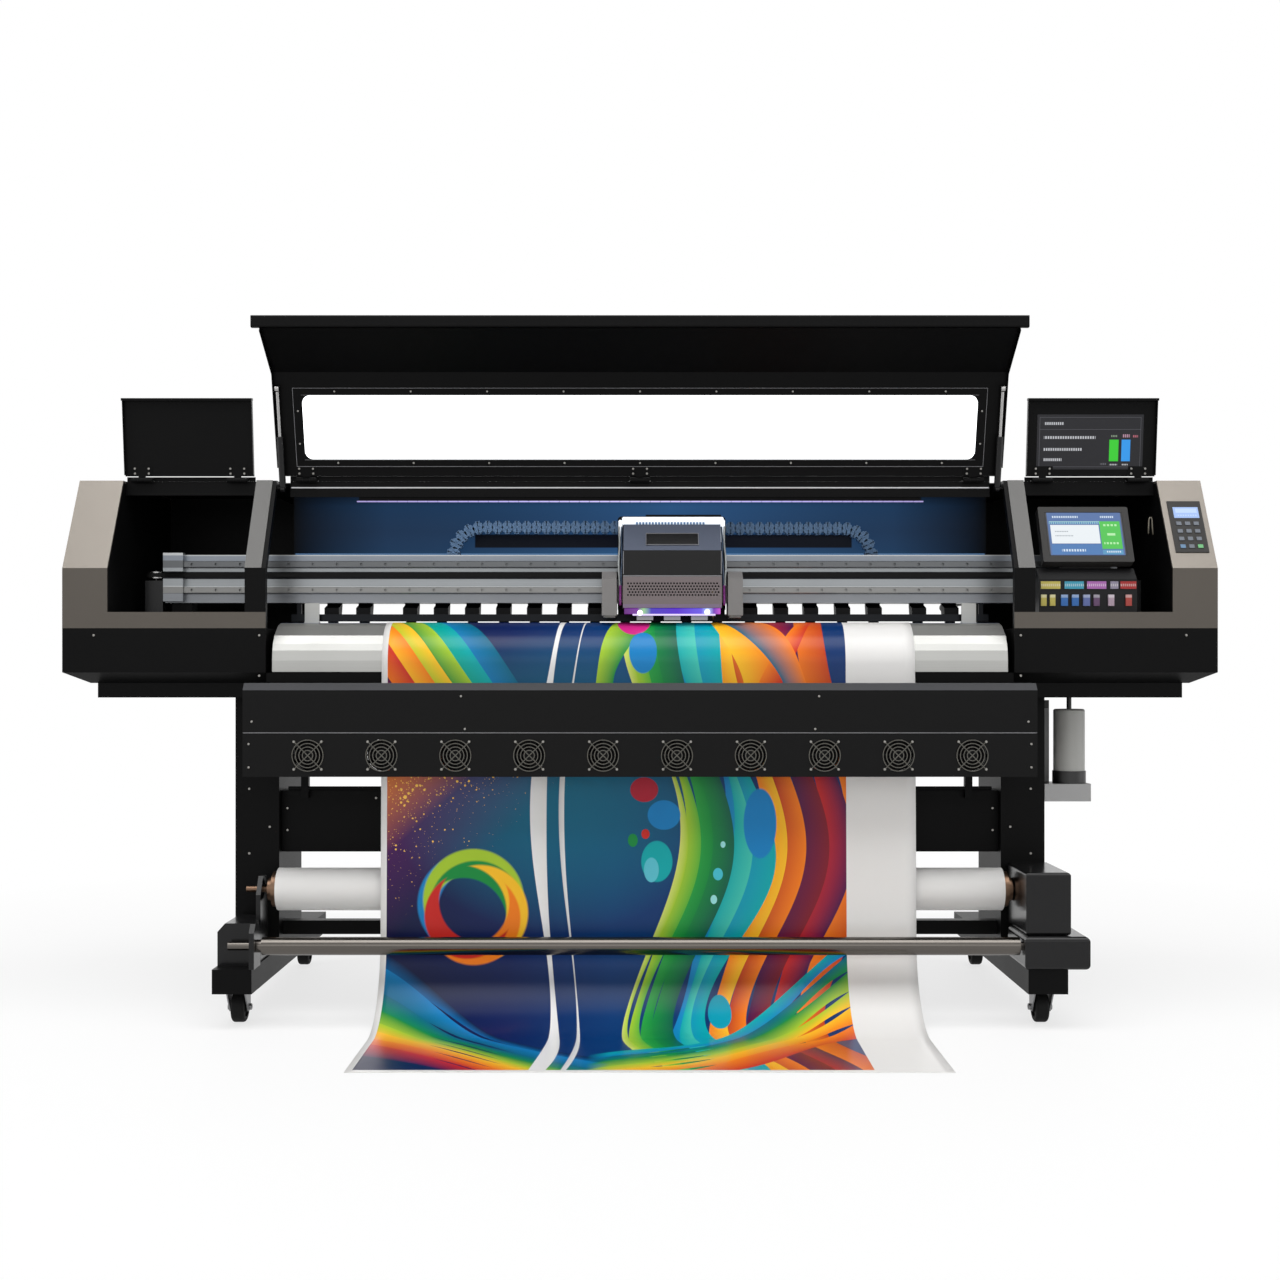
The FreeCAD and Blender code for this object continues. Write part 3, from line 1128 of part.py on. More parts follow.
def keypad():
    """Sealed membrane keypad with twelve raised key domes and a small display window."""
    x0, x1 = KEYPAD_X
    s0, s1 = KEYPAD_S
    panel = slope_frame(x0, x1, s0, s1, 0, 2.5)
    keys = [slope_frame(x0 + 12 + 21 * col, x0 + 26 + 21 * col, s0 + 10 + 22 * row, s0 + 22 + 22 * row, 2.4, 3.4)
            for col in range(3) for row in range(4)]
    return fuse(panel, *keys)


def capping_station():
    """Maintenance station below the carriage's parking place: base, three cap trays and the wiper."""
    base = box(-1140, -940, -96, -6, DECK_Z, 944)
    park = CARRIAGE_PARK
    caps = []
    for d in (-66.0, 0.0, 66.0):
        xc = park + d
        cap = box(xc - 22, xc + 22, -80, -16, 944, 953)
        caps.append(cap.cut(box(xc - 18, xc + 18, -76, -20, 946, 954)))
    wiper = box(-945.5, -942.5, -80, -16, 943, 955.5)
    return fuse(base, *caps, wiper)


CARRIAGE_PARK = -1035.0


def waste_bottle():
    """Waste ink bottle with its screw base, in a bent bracket on the right leg."""
    x, y = 1059.0, 0.0
    bottle = fuse(rod_z(x, y, 585, 739, 38), rod_z(x, y, 557, 587, 40.5), rod_z(x, y, 735, TUB_Z - SKIN, 6))
    bottle = bottle.makeFillet(5.0, [e for e in bottle.Edges if abs(e.CenterOfMass.z - 739) < 0.1
                                     and e.Length > 200])
    plate = box(LEG_OUTER, 1020, 42, 46, 525, 760)
    shelf = box(LEG_OUTER, 1102, -42, 46, 553, 557)
    lip = box(LEG_OUTER, 1102, -42, -39, 514, 557)
    rear_lip = box(LEG_OUTER, 1102, 42, 46, 514, 557)
    return bottle, fuse(plate, shelf, lip, rear_lip)


# ---------------------------------------------------------------- write every node
def main():
    right_leg = leg()
    tray, beam = bed()
    motor, idler = drive_motor()
    right_cabinet = cabinet()
    bottle, bracket = waste_bottle()
    plates = [piece for side in (-1, 1) for y in CASTER_YS for piece in caster_plate(side * CASTER_X, y)]

    export("stand_legs", mirror(right_leg), right_leg, *plates)
    export("stand_crossbars", *stand_crossbars())
    export("bed_beam", tray, beam)
    export("platen", *platen())
    export("print_media", print_media())
    export("rear_housing", *rear_housing())
    export("right_cabinet", *right_cabinet)
    export("left_cabinet", *[mirror(piece) for piece in right_cabinet])
    covers = [side_cover(), *trim()]
    export("side_covers", *covers, *[mirror(s) for s in covers])
    rails = [linear_rail(z) for z in RAIL_ZS]
    export("guide_beam", guide_beam(), *rails, *rail_stops(), *pinch_supports(), *hold_down())
    export("drive_belt", drive_belt())
    export("drive_motor", motor, idler)
    export("motor_pulley", pulley(PULLEY_X))
    export("idler_pulley", pulley(-PULLEY_X))
    export("dryer_housing", dryer_housing(), fan_panel())
    export("fan_frames", *[fan_frame(x) for x in fan_xs()], *[fan_guard(x) for x in fan_xs()])
    for i, x in enumerate(fan_xs()):
        export(f"fan_rotor_{i + 1:02d}", fan_rotor(x))
    export("pinch_arms", pinch_arms())
    export("pinch_rollers", *pinch_rollers())
    export("grit_roller", grit_roller())
    export("takeup_mounts", takeup_mount(), *takeup_drive())
    export("takeup_spindle", takeup_spindle())
    export("takeup_roll", takeup_roll())
    export("tension_bar", tension_bar())
    export("supply_roll", supply_roll())
    export("waste_bottle", bottle, bracket)
    export("touch_screen", *touch_screen())
    export("ink_station", *ink_station())
    export("keypad", keypad())
    export("capping_station", capping_station())
    export("carriage_plate", carriage_plate())
    export("carriage_covers", carriage_cover(), carriage_grille())
    export("curing_lamps", *lamps())
    export("print_heads", *print_heads())
    export("blade_holder", blade_holder())
    export("chain_loops", *[chain_loop(x, s, ys) for x, s, ys in zip(CHAIN_BENDS_X, (-1, 1), CHAIN_YS)])
    export("chain_upper", *[chain_upper(x, e, ys) for x, e, ys in zip(CHAIN_BENDS_X, CHAIN_ENDS_X, CHAIN_YS)])
    export("cover_panel", *cover_panel())
    export("cover_window", cover_window())
    export("strut_cylinders", *[strut_cylinder(x) for x in (-STRUT_X, STRUT_X)])
    export("strut_rods", *[strut_rod(x) for x in (-STRUT_X, STRUT_X)])
    right_lid = lid()
    export("right_lid", *right_lid)
    export("left_lid", *[mirror(piece) for piece in right_lid])
    names = {(-1, 0): "front_left", (-1, 1): "rear_left", (1, 0): "front_right", (1, 1): "rear_right"}
    for (side, row), name in names.items():
        x, y = side * CASTER_X, CASTER_YS[row]
        export(f"caster_fork_{name}", caster_fork(x, y))
        export(f"caster_wheel_{name}", caster_wheel(x, y))


main()
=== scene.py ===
"""Looks for a roll-fed printer cutter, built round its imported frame.

Metres: +X to the operator's right, +Y to the rear, +Z up, floor at Z = 0.
"""
import math

import bpy
import numpy as np
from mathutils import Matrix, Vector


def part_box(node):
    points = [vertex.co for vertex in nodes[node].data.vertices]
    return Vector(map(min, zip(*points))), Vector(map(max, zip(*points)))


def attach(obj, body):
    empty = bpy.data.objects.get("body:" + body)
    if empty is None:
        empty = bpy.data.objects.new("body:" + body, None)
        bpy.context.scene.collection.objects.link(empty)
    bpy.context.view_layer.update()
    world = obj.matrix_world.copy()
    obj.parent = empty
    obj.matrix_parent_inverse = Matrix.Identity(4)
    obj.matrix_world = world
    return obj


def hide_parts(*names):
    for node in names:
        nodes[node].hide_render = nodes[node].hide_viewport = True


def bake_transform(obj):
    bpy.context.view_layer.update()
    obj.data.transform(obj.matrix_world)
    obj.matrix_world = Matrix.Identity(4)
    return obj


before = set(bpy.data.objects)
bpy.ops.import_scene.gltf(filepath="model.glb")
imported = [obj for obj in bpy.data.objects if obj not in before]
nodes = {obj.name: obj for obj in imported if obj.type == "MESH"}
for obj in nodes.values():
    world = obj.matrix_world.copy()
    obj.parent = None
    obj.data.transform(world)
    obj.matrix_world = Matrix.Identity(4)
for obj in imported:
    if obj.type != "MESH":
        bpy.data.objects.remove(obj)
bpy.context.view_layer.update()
MM = 0.001

# ---------------------------------------------------------------- colours, linear
BLACK_COAT = (0.0028, 0.0028, 0.0029)
BLACK_PLASTIC = (0.0045, 0.0045, 0.005)
CHAMPAGNE = (0.180, 0.163, 0.143)
WARM_WHITE = (0.76, 0.75, 0.735)


# ---------------------------------------------------------------- node helpers
def socket_node(tree, kind, **values):
    """A node of that kind in a tree, with plain attributes set."""
    node = tree.nodes.new(kind)
    for key, value in values.items():
        setattr(node, key, value)
    return node


def feed(tree, socket, value):
    """Gives an input a number, an (r, g, b) colour or another node's output."""
    if isinstance(value, (int, float)):
        socket.default_value = value
    elif isinstance(value, tuple):
        socket.default_value = (*value[:3], 1.0)
    else:
        tree.links.new(value, socket)


def maths(tree, operation, a, b=None, c=None, clamp=False):
    """One Math node. Each input is a number or another node's output socket."""
    node = socket_node(tree, "ShaderNodeMath", operation=operation, use_clamp=clamp)
    for socket, value in zip(node.inputs, (a, b, c)):
        if value is not None:
            feed(tree, socket, value)
    return node.outputs[0]


def minus(tree, a, b, clamp=False):
    """a - b"""
    return maths(tree, "SUBTRACT", a, b, clamp=clamp)


def times(tree, a, b, clamp=False):
    """a * b"""
    return maths(tree, "MULTIPLY", a, b, clamp=clamp)


def over(tree, a, b, clamp=False):
    """a / b"""
    return maths(tree, "DIVIDE", a, b, clamp=clamp)


def times_plus(tree, a, b, c, clamp=False):
    """a * b + c"""
    return maths(tree, "MULTIPLY_ADD", a, b, c, clamp)


def blend_colour(tree, factor, a, b, mode="MIX"):
    """Mixes two colours, each an (r, g, b) or a socket, by a number or socket."""
    node = socket_node(tree, "ShaderNodeMix", data_type="RGBA", blend_type=mode, clamp_factor=True)
    for socket, value in ((node.inputs[0], factor), (node.inputs[6], a), (node.inputs[7], b)):
        feed(tree, socket, value)
    return node.outputs[2]


def ramp(tree, value, stops, interpolation="LINEAR"):
    """A colour ramp over a value, from (position, (r, g, b)) stops."""
    node = socket_node(tree, "ShaderNodeValToRGB")
    node.color_ramp.interpolation = interpolation
    elements = node.color_ramp.elements
    while len(elements) < len(stops):
        elements.new(0.5)
    for element, (position, colour) in zip(elements, stops):
        element.position = position
        element.color = (*colour, 1.0)
    tree.links.new(value, node.inputs[0])
    return node.outputs[0]


def level_ramp(tree, value, low, high, stops, interpolation="LINEAR"):
    """A colour ramp over a value from low to high, with its stops in the value's own units."""
    share = over(tree, minus(tree, value, low), high - low, clamp=True)
    return ramp(tree, share, [((at - low) / (high - low), ink) for at, ink in stops], interpolation)


def mask_range(tree, value, low, high, soft=0.0005):
    """One where the value lies between low and high, with a soft edge, and zero elsewhere."""
    up = over(tree, minus(tree, value, low), soft, clamp=True)
    down = over(tree, minus(tree, high, value), soft, clamp=True)
    return times(tree, up, down)


def split_axes(tree, vector):
    """The X, Y and Z outputs of a vector."""
    node = socket_node(tree, "ShaderNodeSeparateXYZ")
    tree.links.new(vector, node.inputs[0])
    return node.outputs


def as_grey(tree, level):
    """A number as a grey colour."""
    node = socket_node(tree, "ShaderNodeCombineXYZ")
    for socket in node.inputs:
        tree.links.new(level, socket)
    return node.outputs[0]


def coordinates(tree, kind="Object"):
    """Texture coordinates of that kind: Object, or the piece's own UV."""
    return socket_node(tree, "ShaderNodeTexCoord").outputs[kind]


def bump_normal(tree, height, strength, distance):
    """The normal of a bump over a height; distance is in metres."""
    node = socket_node(tree, "ShaderNodeBump")
    feed(tree, node.inputs["Strength"], strength)
    node.inputs["Distance"].default_value = distance
    tree.links.new(height, node.inputs["Height"])
    return node.outputs[0]


def make_group(name, inputs, outputs):
    """An empty shader node group with float or colour sockets, and its ends."""
    group = bpy.data.node_groups.new(name, "ShaderNodeTree")
    kinds = {"f": "NodeSocketFloat", "c": "NodeSocketColor", "v": "NodeSocketVector"}
    for label, kind, value in inputs:
        socket = group.interface.new_socket(label, in_out="INPUT", socket_type=kinds[kind])
        if kind != "v":
            socket.default_value = value if kind == "f" else (*value, 1.0)
    for label, kind in outputs:
        group.interface.new_socket(label, in_out="OUTPUT", socket_type=kinds[kind])
    return group, group.nodes.new("NodeGroupInput"), group.nodes.new("NodeGroupOutput")


def hand_out(group, end, **values):
    """Joins a group's results to its output sockets."""
    for label, value in values.items():
        group.links.new(value, end.inputs[label])


def stretched_coordinates(tree, scale=(1.0, 1.0, 1.0)):
    """Object coordinates, stretched."""
    mapping = socket_node(tree, "ShaderNodeMapping")
    mapping.inputs["Scale"].default_value = scale
    tree.links.new(coordinates(tree), mapping.inputs["Vector"])
    return mapping.outputs["Vector"]


def noise(tree, vector, scale, detail=2.0, roughness=0.5):
    """Noise on a vector; scale is a number or a socket."""
    node = socket_node(tree, "ShaderNodeTexNoise")
    for label, value in (("Vector", vector), ("Scale", scale), ("Detail", detail), ("Roughness", roughness)):
        feed(tree, node.inputs[label], value)
    return node.outputs["Fac"]


def build_coat_group():
    """Coated or moulded skin: fine grain in the bump, cloudy gloss, pale dust on faces that look up."""
    group, start, end = make_group(
        "coat_skin",
        [("Color", "c", (0.5, 0.5, 0.5)), ("Grain", "f", 900.0), ("Grain Height", "f", 0.15),
         ("Roughness", "f", 0.45), ("Cloud", "f", 0.10), ("Dust", "f", 0.02)],
        [("Color", "c"), ("Roughness", "f"), ("Normal", "v")])
    vector = stretched_coordinates(group)
    fine = noise(group, vector, start.outputs["Grain"], 2.0, 0.6)
    cloud = noise(group, vector, 3.5, 3.0, 0.55)
    tint = times_plus(group, minus(group, cloud, 0.5), 0.16, 1.0)
    shade = blend_colour(group, 1.0, start.outputs["Color"], tint, "MULTIPLY")
    facing = split_axes(group, socket_node(group, "ShaderNodeNewGeometry").outputs["Normal"])
    up = minus(group, facing["Z"], 0.6, clamp=True)
    dust = times(group, times(group, up, start.outputs["Dust"]),
                 noise(group, vector, 40.0, 4.0, 0.7))
    dusty = blend_colour(group, dust, shade, (0.55, 0.54, 0.52))
    gloss = times_plus(group, minus(group, cloud, 0.5),
                  start.outputs["Cloud"], start.outputs["Roughness"])
    hand_out(group, end, Color=dusty, Roughness=gloss,
             Normal=bump_normal(group, fine, start.outputs["Grain Height"], 0.0004))
    return group


def build_brushed_group():
    """Brushed or drawn metal: streaks along X, in the colour, the gloss and the bump."""
    group, start, end = make_group(
        "drawn_metal",
        [("Color", "c", (0.6, 0.6, 0.6)), ("Streak", "f", 0.25), ("Roughness", "f", 0.3)],
        [("Color", "c"), ("Roughness", "f"), ("Normal", "v")])
    streak = noise(group, stretched_coordinates(group, (1.2, 420.0, 420.0)), 1.0, 3.0, 0.6)
    smudge = noise(group, stretched_coordinates(group), 9.0, 3.0, 0.6)
    centred = minus(group, streak, 0.5)
    tint = times_plus(group, centred, start.outputs["Streak"], 1.0)
    shade = blend_colour(group, 1.0, start.outputs["Color"], tint, "MULTIPLY")
    gloss = times_plus(group, minus(group, smudge, 0.5), 0.18,
                  times_plus(group, centred, 0.2, start.outputs["Roughness"]))
    hand_out(group, end, Color=shade, Roughness=gloss, Normal=bump_normal(group, streak, 0.12, 0.0002))
    return group


def build_band_group():
    """One flowing band of ink: the soft-edged strip round u = centre + swing * sin(pitch * v + phase)."""
    group, start, end = make_group(
        "ink_band",
        [("U", "f", 0.0), ("V", "f", 0.0), ("Centre", "f", 0.0), ("Slope", "f", 0.0), ("Swing", "f", 0.1),
         ("Pitch", "f", 3.0), ("Phase", "f", 0.0), ("Width", "f", 0.1), ("Swell", "f", 0.3)],
        [("Mask", "f"), ("Across", "f")])
    v = start.outputs["V"]
    turn = times_plus(group, v, start.outputs["Pitch"], start.outputs["Phase"])
    centre = times_plus(group, maths(group, "SINE", turn), start.outputs["Swing"],
                   times_plus(group, v, start.outputs["Slope"], start.outputs["Centre"]))
    swell = times_plus(group, maths(group, "SINE", times(group, turn, 1.7)),
                  start.outputs["Swell"], 1.0)
    half = maths(group, "MAXIMUM", times(group, start.outputs["Width"], swell), 0.0001)
    across = over(group, minus(group, start.outputs["U"], centre), half)
    inside = minus(group, 1.0, maths(group, "ABSOLUTE", across))
    mask = times(group, times(group, inside, half), 900.0, clamp=True)
    hand_out(group, end, Mask=mask, Across=times_plus(group, across, 0.5, 0.5, clamp=True))
    return group


COAT = build_coat_group()
DRAWN = build_brushed_group()
BAND = build_band_group()


def new_material(name):
    """An empty material with its Principled BSDF."""
    made = bpy.data.materials.new(name)
    made.use_nodes = True
    return made, made.node_tree, made.node_tree.nodes["Principled BSDF"]


def plug(tree, group, shader, **values):
    """Places a skin group in a material and joins it to the shader. A value may be a socket."""
    node = socket_node(tree, "ShaderNodeGroup", node_tree=group)
    for key, value in values.items():
        feed(tree, node.inputs[key.replace("_", " ")], value)
    for result, label in (("Color", "Base Color"), ("Roughness", "Roughness"), ("Normal", "Normal")):
        tree.links.new(node.outputs[result], shader.inputs[label])


def emit(tree, shader, colour, strength=1.0):
    """Lights a surface with a colour, or with a socket."""
    feed(tree, shader.inputs["Emission Color"], colour)
    shader.inputs["Emission Strength"].default_value = strength


def coated(name, colour, roughness=0.45, grain=900.0, height=0.15, cloud=0.10, dust=0.02, coat=0.0,
           metallic=0.0, specular=0.5):
    """Painted sheet or moulded plastic."""
    made, tree, shader = new_material(name)
    plug(tree, COAT, shader, Color=colour, Grain=grain, Grain_Height=height, Roughness=roughness,
         Cloud=cloud, Dust=dust)
    shader.inputs["Coat Weight"].default_value = coat
    shader.inputs["Coat Roughness"].default_value = 0.12
    shader.inputs["Metallic"].default_value = metallic
    shader.inputs["Specular IOR Level"].default_value = specular
    return made


def drawn(name, colour, roughness=0.3, streak=0.25, metallic=1.0):
    """Bare metal with drawing marks."""
    made, tree, shader = new_material(name)
    plug(tree, DRAWN, shader, Color=colour, Streak=streak, Roughness=roughness)
    shader.inputs["Metallic"].default_value = metallic
    return made


def glowing(name, colour, strength, surface=(0.02, 0.02, 0.02)):
    """A lit surface."""
    made, tree, shader = new_material(name)
    plug(tree, COAT, shader, Color=surface, Roughness=0.3, Dust=0.0)
    emit(tree, shader, colour, strength)
    return made


def axis_value(tree, axis):
    """One Object coordinate as a socket."""
    return split_axes(tree, coordinates(tree))[axis]


def box_mask(tree, limits, soft=0.0004):
    """One inside a box of Object coordinates; limits maps an axis to its (low, high) in metres."""
    mask = None
    for axis, (low, high) in limits.items():
        here = mask_range(tree, axis_value(tree, axis), low, high, soft)
        mask = here if mask is None else times(tree, mask, here)
    return mask


def zoned(name, colour, zones, skin, metallic=0.0, specular=0.5, **values):
    """One finish with patches of other colours: zones are ({axis: (low, high)}, colour)."""
    made, tree, shader = new_material(name)
    for limits, patch in zones:
        colour = blend_colour(tree, box_mask(tree, limits), colour, patch)
    plug(tree, skin, shader, Color=colour, **values)
    shader.inputs["Metallic"].default_value = metallic
    shader.inputs["Specular IOR Level"].default_value = specular
    return made


def lit_picture(name, ground, zones, strength=1.0):
    """A lit display on its own UV in metres: plain blocks (x0, x1, y0, y1, colour, dash) in millimetres.

    A dash above zero breaks the block into short dashes of that pitch, like a row of figures seen from afar.
    """
    made, tree, shader = new_material(name)
    u, v, _ = split_axes(tree, coordinates(tree, "UV"))
    colour = ground
    for x0, x1, y0, y1, patch, dash in zones:
        mask = times(tree, mask_range(tree, u, x0 * MM, x1 * MM), mask_range(tree, v, y0 * MM, y1 * MM))
        if dash:
            beat = maths(tree, "FRACT", over(tree, u, dash * MM))
            mask = times(tree, mask, mask_range(tree, beat, 0.0, 0.68, 0.06))
        colour = blend_colour(tree, mask, colour, patch)
    plug(tree, COAT, shader, Color=(0.01, 0.01, 0.012), Roughness=0.25, Grain_Height=0.02, Dust=0.0)
    emit(tree, shader, colour, strength)
    shader.inputs["Specular IOR Level"].default_value = 0.25
    return made


# ---------------------------------------------------------------- mesh helpers
def put(name, points, faces, material, body, smooth=False, uv=None, replaces=()):
    """A finished piece in the shared frame that rides on a body. faces is a list of index arrays."""
    mesh = bpy.data.meshes.new(name)
    mesh.from_pydata(np.asarray(points, float).reshape(-1, 3).tolist(), [],
                     [list(map(int, f)) for f in faces])
    mesh.polygons.foreach_set("use_smooth", np.full(len(mesh.polygons), smooth))
    if uv is not None:
        layer = mesh.uv_layers.new(name="flat")
        corner = np.empty(len(mesh.loops), int)
        mesh.loops.foreach_get("vertex_index", corner)
        layer.data.foreach_set("uv", np.asarray(uv, np.float32)[corner].ravel())
    mesh.validate()
    mesh.update()
    piece = bpy.data.objects.new(name, mesh)
    bpy.context.scene.collection.objects.link(piece)
    mesh.materials.append(material)
    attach(piece, body)
    if replaces:
        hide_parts(*replaces)
    return piece


def grid_faces(rows, columns, wrap_rows=False, wrap_columns=False):
    """Quads of a rows x columns grid of points."""
    r = np.arange(rows if wrap_rows else rows - 1)
    c = np.arange(columns if wrap_columns else columns - 1)
    r, c = (a.ravel() for a in np.meshgrid(r, c, indexing="ij"))
    r1, c1 = (r + 1) % rows, (c + 1) % columns
    return np.stack([r * columns + c, r * columns + c1, r1 * columns + c1, r1 * columns + c], 1)


def repeat_solid(points, faces, count):
    """Face lists for count copies of a solid whose points are stacked copy after copy."""
    size = len(points)
    return [[i + size * n for i in face] for n in range(count) for face in faces]


def chamfer_box():
    """Unit box with chamfered edges: signs of the corner and the axis left at full reach, and its faces."""
    signs = np.array([(x, y, z) for x in (-1, 1) for y in (-1, 1) for z in (-1, 1)])
    corners = np.repeat(signs, 3, 0)
    full = np.tile(np.arange(3), 8)
    index = {(tuple(s), a): 3 * i + a for i, s in enumerate(map(tuple, signs)) for a in range(3)}
    faces = []
    for axis in range(3):
        b, c = (axis + 1) % 3, (axis + 2) % 3
        for side in (-1, 1):
            ring = []
            for sb, sc in ((-1, -1), (1, -1), (1, 1), (-1, 1)):
                s = [0, 0, 0]
                s[axis], s[b], s[c] = side, sb, sc
                ring.append(index[(tuple(s), axis)])
            faces.append(ring if side > 0 else ring[::-1])
            for sc in (-1, 1):
                s0, s1 = [0, 0, 0], [0, 0, 0]
                s0[b], s0[c], s0[axis] = side, sc, -1
                s1[b], s1[c], s1[axis] = side, sc, 1
                ring = [index[(tuple(s0), b)], index[(tuple(s1), b)], index[(tuple(s1), c)],
                        index[(tuple(s0), c)]]
                faces.append(ring if side * sc < 0 else ring[::-1])
    for s in map(tuple, signs):
        ring = [index[(s, 0)], index[(s, 1)], index[(s, 2)]]
        faces.append(ring if s[0] * s[1] * s[2] > 0 else ring[::-1])
    return corners, full, faces


CORNERS, FULL, BOX_FACES = chamfer_box()


def blocks(name, low, high, material, body, chamfer=0.6, axes=None, flat=False):
    """Chamfered blocks in millimetres, one for each row of low and high corners, as one piece.

    axes is (origin, right, up, out) in the shared frame: the blocks' x, y, z run along those vectors.
    With flat, the UV is the block's own x and y in metres.
    """
    low, high = np.atleast_2d(np.asarray(low, float)), np.atleast_2d(np.asarray(high, float))
    middle, half = (low + high) / 2, (high - low) / 2
    cut = np.minimum(chamfer, half.min(1) * 0.8)[:, None, None]
    reach = np.where(np.arange(3) == FULL[:, None], 0.0, 1.0)[None]
    points = middle[:, None, :] + CORNERS[None] * (half[:, None, :] - cut * reach)
    uv = points[..., :2].reshape(-1, 2) * MM if flat else None
    faces = BOX_FACES
    if axes is not None:
        origin, right, up, out = (np.asarray(a, float) for a in axes)
        points = origin + points[..., :1] * right + points[..., 1:2] * up + points[..., 2:] * out
        if np.dot(np.cross(right, up), out) < 0:
            faces = [f[::-1] for f in BOX_FACES]
    return put(name, points * MM, repeat_solid(CORNERS, faces, len(low)), material, body, uv=uv)


def turned_faces(rings, segments):
    """Faces of stacked rings round an axis, closed at both ends."""
    faces = [list(f) for f in grid_faces(rings, segments, wrap_columns=True)]
    faces.append(list(range(segments))[::-1])
    faces.append(list(range((rings - 1) * segments, rings * segments)))
    return faces


def turned(name, places, axis, profile, material, body, segments=12, smooth=False):
    """Turned pieces: a (distance along the axis, radius) profile in millimetres, at many places."""
    places = np.atleast_2d(np.asarray(places, float))
    axis = np.asarray(axis, float) / np.linalg.norm(axis)
    side = np.cross(axis, (0.0, 0.0, 1.0) if abs(axis[2]) < 0.9 else (0.0, 1.0, 0.0))
    side /= np.linalg.norm(side)
    other = np.cross(axis, side)
    angle = np.linspace(0, 2 * np.pi, segments, endpoint=False)
    ring = np.cos(angle)[:, None] * side + np.sin(angle)[:, None] * other
    profile = np.asarray(profile, float)
    shape = profile[:, None, :1] * axis + profile[:, None, 1:] * ring[None]
    points = places[:, None, None, :] + shape[None]
    faces = turned_faces(len(profile), segments)
    return put(name, points * MM, repeat_solid(range(len(profile) * segments), faces, len(places)),
               material, body, smooth)


SCREW = [(0.0, 1.0), (0.35, 1.0), (0.6, 0.8), (0.6, 0.42), (0.1, 0.36), (0.1, 0.02)]


def screws(name, places, axis, radius, material, body, segments=10):
    """Socket-head screws: a low domed head with a recess, standing on the surface."""
    profile = [(h * radius, max(r, 0.02) * radius) for h, r in SCREW]
    return turned(name, places, axis, profile, material, body, segments)


def tube(name, path, radius, material, body, segments=10):
    """A round tube along a smooth path of points in millimetres."""
    path = np.asarray(path, float)
    along = np.gradient(path, axis=0)
    along /= np.linalg.norm(along, axis=1)[:, None]
    side = np.cross(along, (1.0, 0.001, 0.0))
    side /= np.linalg.norm(side, axis=1)[:, None]
    other = np.cross(along, side)
    angle = np.linspace(0, 2 * np.pi, segments, endpoint=False)
    r = np.broadcast_to(np.asarray(radius, float), len(path))[:, None, None]
    points = path[:, None] + r * (np.cos(angle)[:, None] * side[:, None] + np.sin(angle)[:, None]
                                  * other[:, None])
    faces = turned_faces(len(path), segments)
    return put(name, points * MM, faces, material, body, smooth=True)


# ---------------------------------------------------------------- the finishes
mat_black = coated("black_powder_coat", BLACK_COAT, roughness=0.42, grain=1400, height=0.25, dust=0.006,
                   specular=0.07)
mat_black_soft = coated("black_plastic", BLACK_PLASTIC, roughness=0.5, grain=1800, height=0.2, dust=0.02,
                        specular=0.12)
mat_gloss_black = coated("gloss_black_box", (0.005, 0.005, 0.0055), roughness=0.24, grain=300, height=0.05,
                         coat=0.15, dust=0.02, specular=0.2)
# The upright faces below the slope (Z 0.90 to 1.0785) are painted darker than the slope: painted shade on
# faces that turn away from the overhead light.
mat_champagne = zoned("champagne_metallic", CHAMPAGNE,
                      [({"Z": (0.90, 1.0785)}, (0.090, 0.080, 0.069)),
                       ({"X": (-0.96, 0.96), "Z": (0.98, 1.31)}, (0.075, 0.074, 0.072))],
                      COAT, 0.75, 0.5, Roughness=0.40, Grain=2600.0, Grain_Height=0.3, Cloud=0.06, Dust=0.0)
# The thin bluish line along the platen's top edge (Z 0.949 to 0.9515) is a painted reflection.
mat_platen = zoned("platen_aluminium", (0.40, 0.40, 0.385), [({"Z": (0.9490, 0.9515)}, (0.26, 0.33, 0.46))],
                   DRAWN, 0.8, 0.5, Roughness=0.42, Streak=0.18)
mat_steel = drawn("ground_steel", (0.36, 0.355, 0.35), roughness=0.24, streak=0.25)
mat_tube = drawn("stainless_tube", (0.115, 0.105, 0.095), roughness=0.2, streak=0.45)
mat_zinc = drawn("zinc_plate", (0.24, 0.24, 0.245), roughness=0.38, streak=0.15)
mat_copper = drawn("bronzed_chuck", (0.17, 0.105, 0.07), roughness=0.34, streak=0.3)
mat_brass = drawn("aged_brass", (0.30, 0.23, 0.13), roughness=0.38, streak=0.2)
mat_screw = drawn("screw_steel", (0.34, 0.33, 0.31), roughness=0.34, streak=0.1)
mat_tyre = coated("castor_rubber", (0.006, 0.006, 0.006), roughness=0.7, grain=500, height=0.3, dust=0.1,
                  specular=0.15)
mat_belt = coated("belt_rubber", (0.006, 0.006, 0.006), roughness=0.75, grain=400, height=0.3, specular=0.15)
mat_roller = coated("roller_rubber", (0.016, 0.017, 0.02), roughness=0.65, grain=900, height=0.2,
                    specular=0.2)
mat_paper = coated("white_film_roll", WARM_WHITE, roughness=0.55, grain=300, height=0.04, cloud=0.05,
                   dust=0.0)
mat_lamp = coated("lamp_housing", (0.165, 0.158, 0.155), roughness=0.45, grain=1500, height=0.2, dust=0.0)
mat_case = coated("screen_case", (0.022, 0.021, 0.020), roughness=0.42, grain=1400, height=0.2, dust=0.0,
                  specular=0.2)
mat_line = coated("pale_line", (0.17, 0.17, 0.18), roughness=0.4, grain=900, height=0.05, dust=0.0)
mat_edge = coated("bright_edge", (0.40, 0.40, 0.41), roughness=0.28, grain=900, height=0.05, metallic=0.8,
                  dust=0.0)
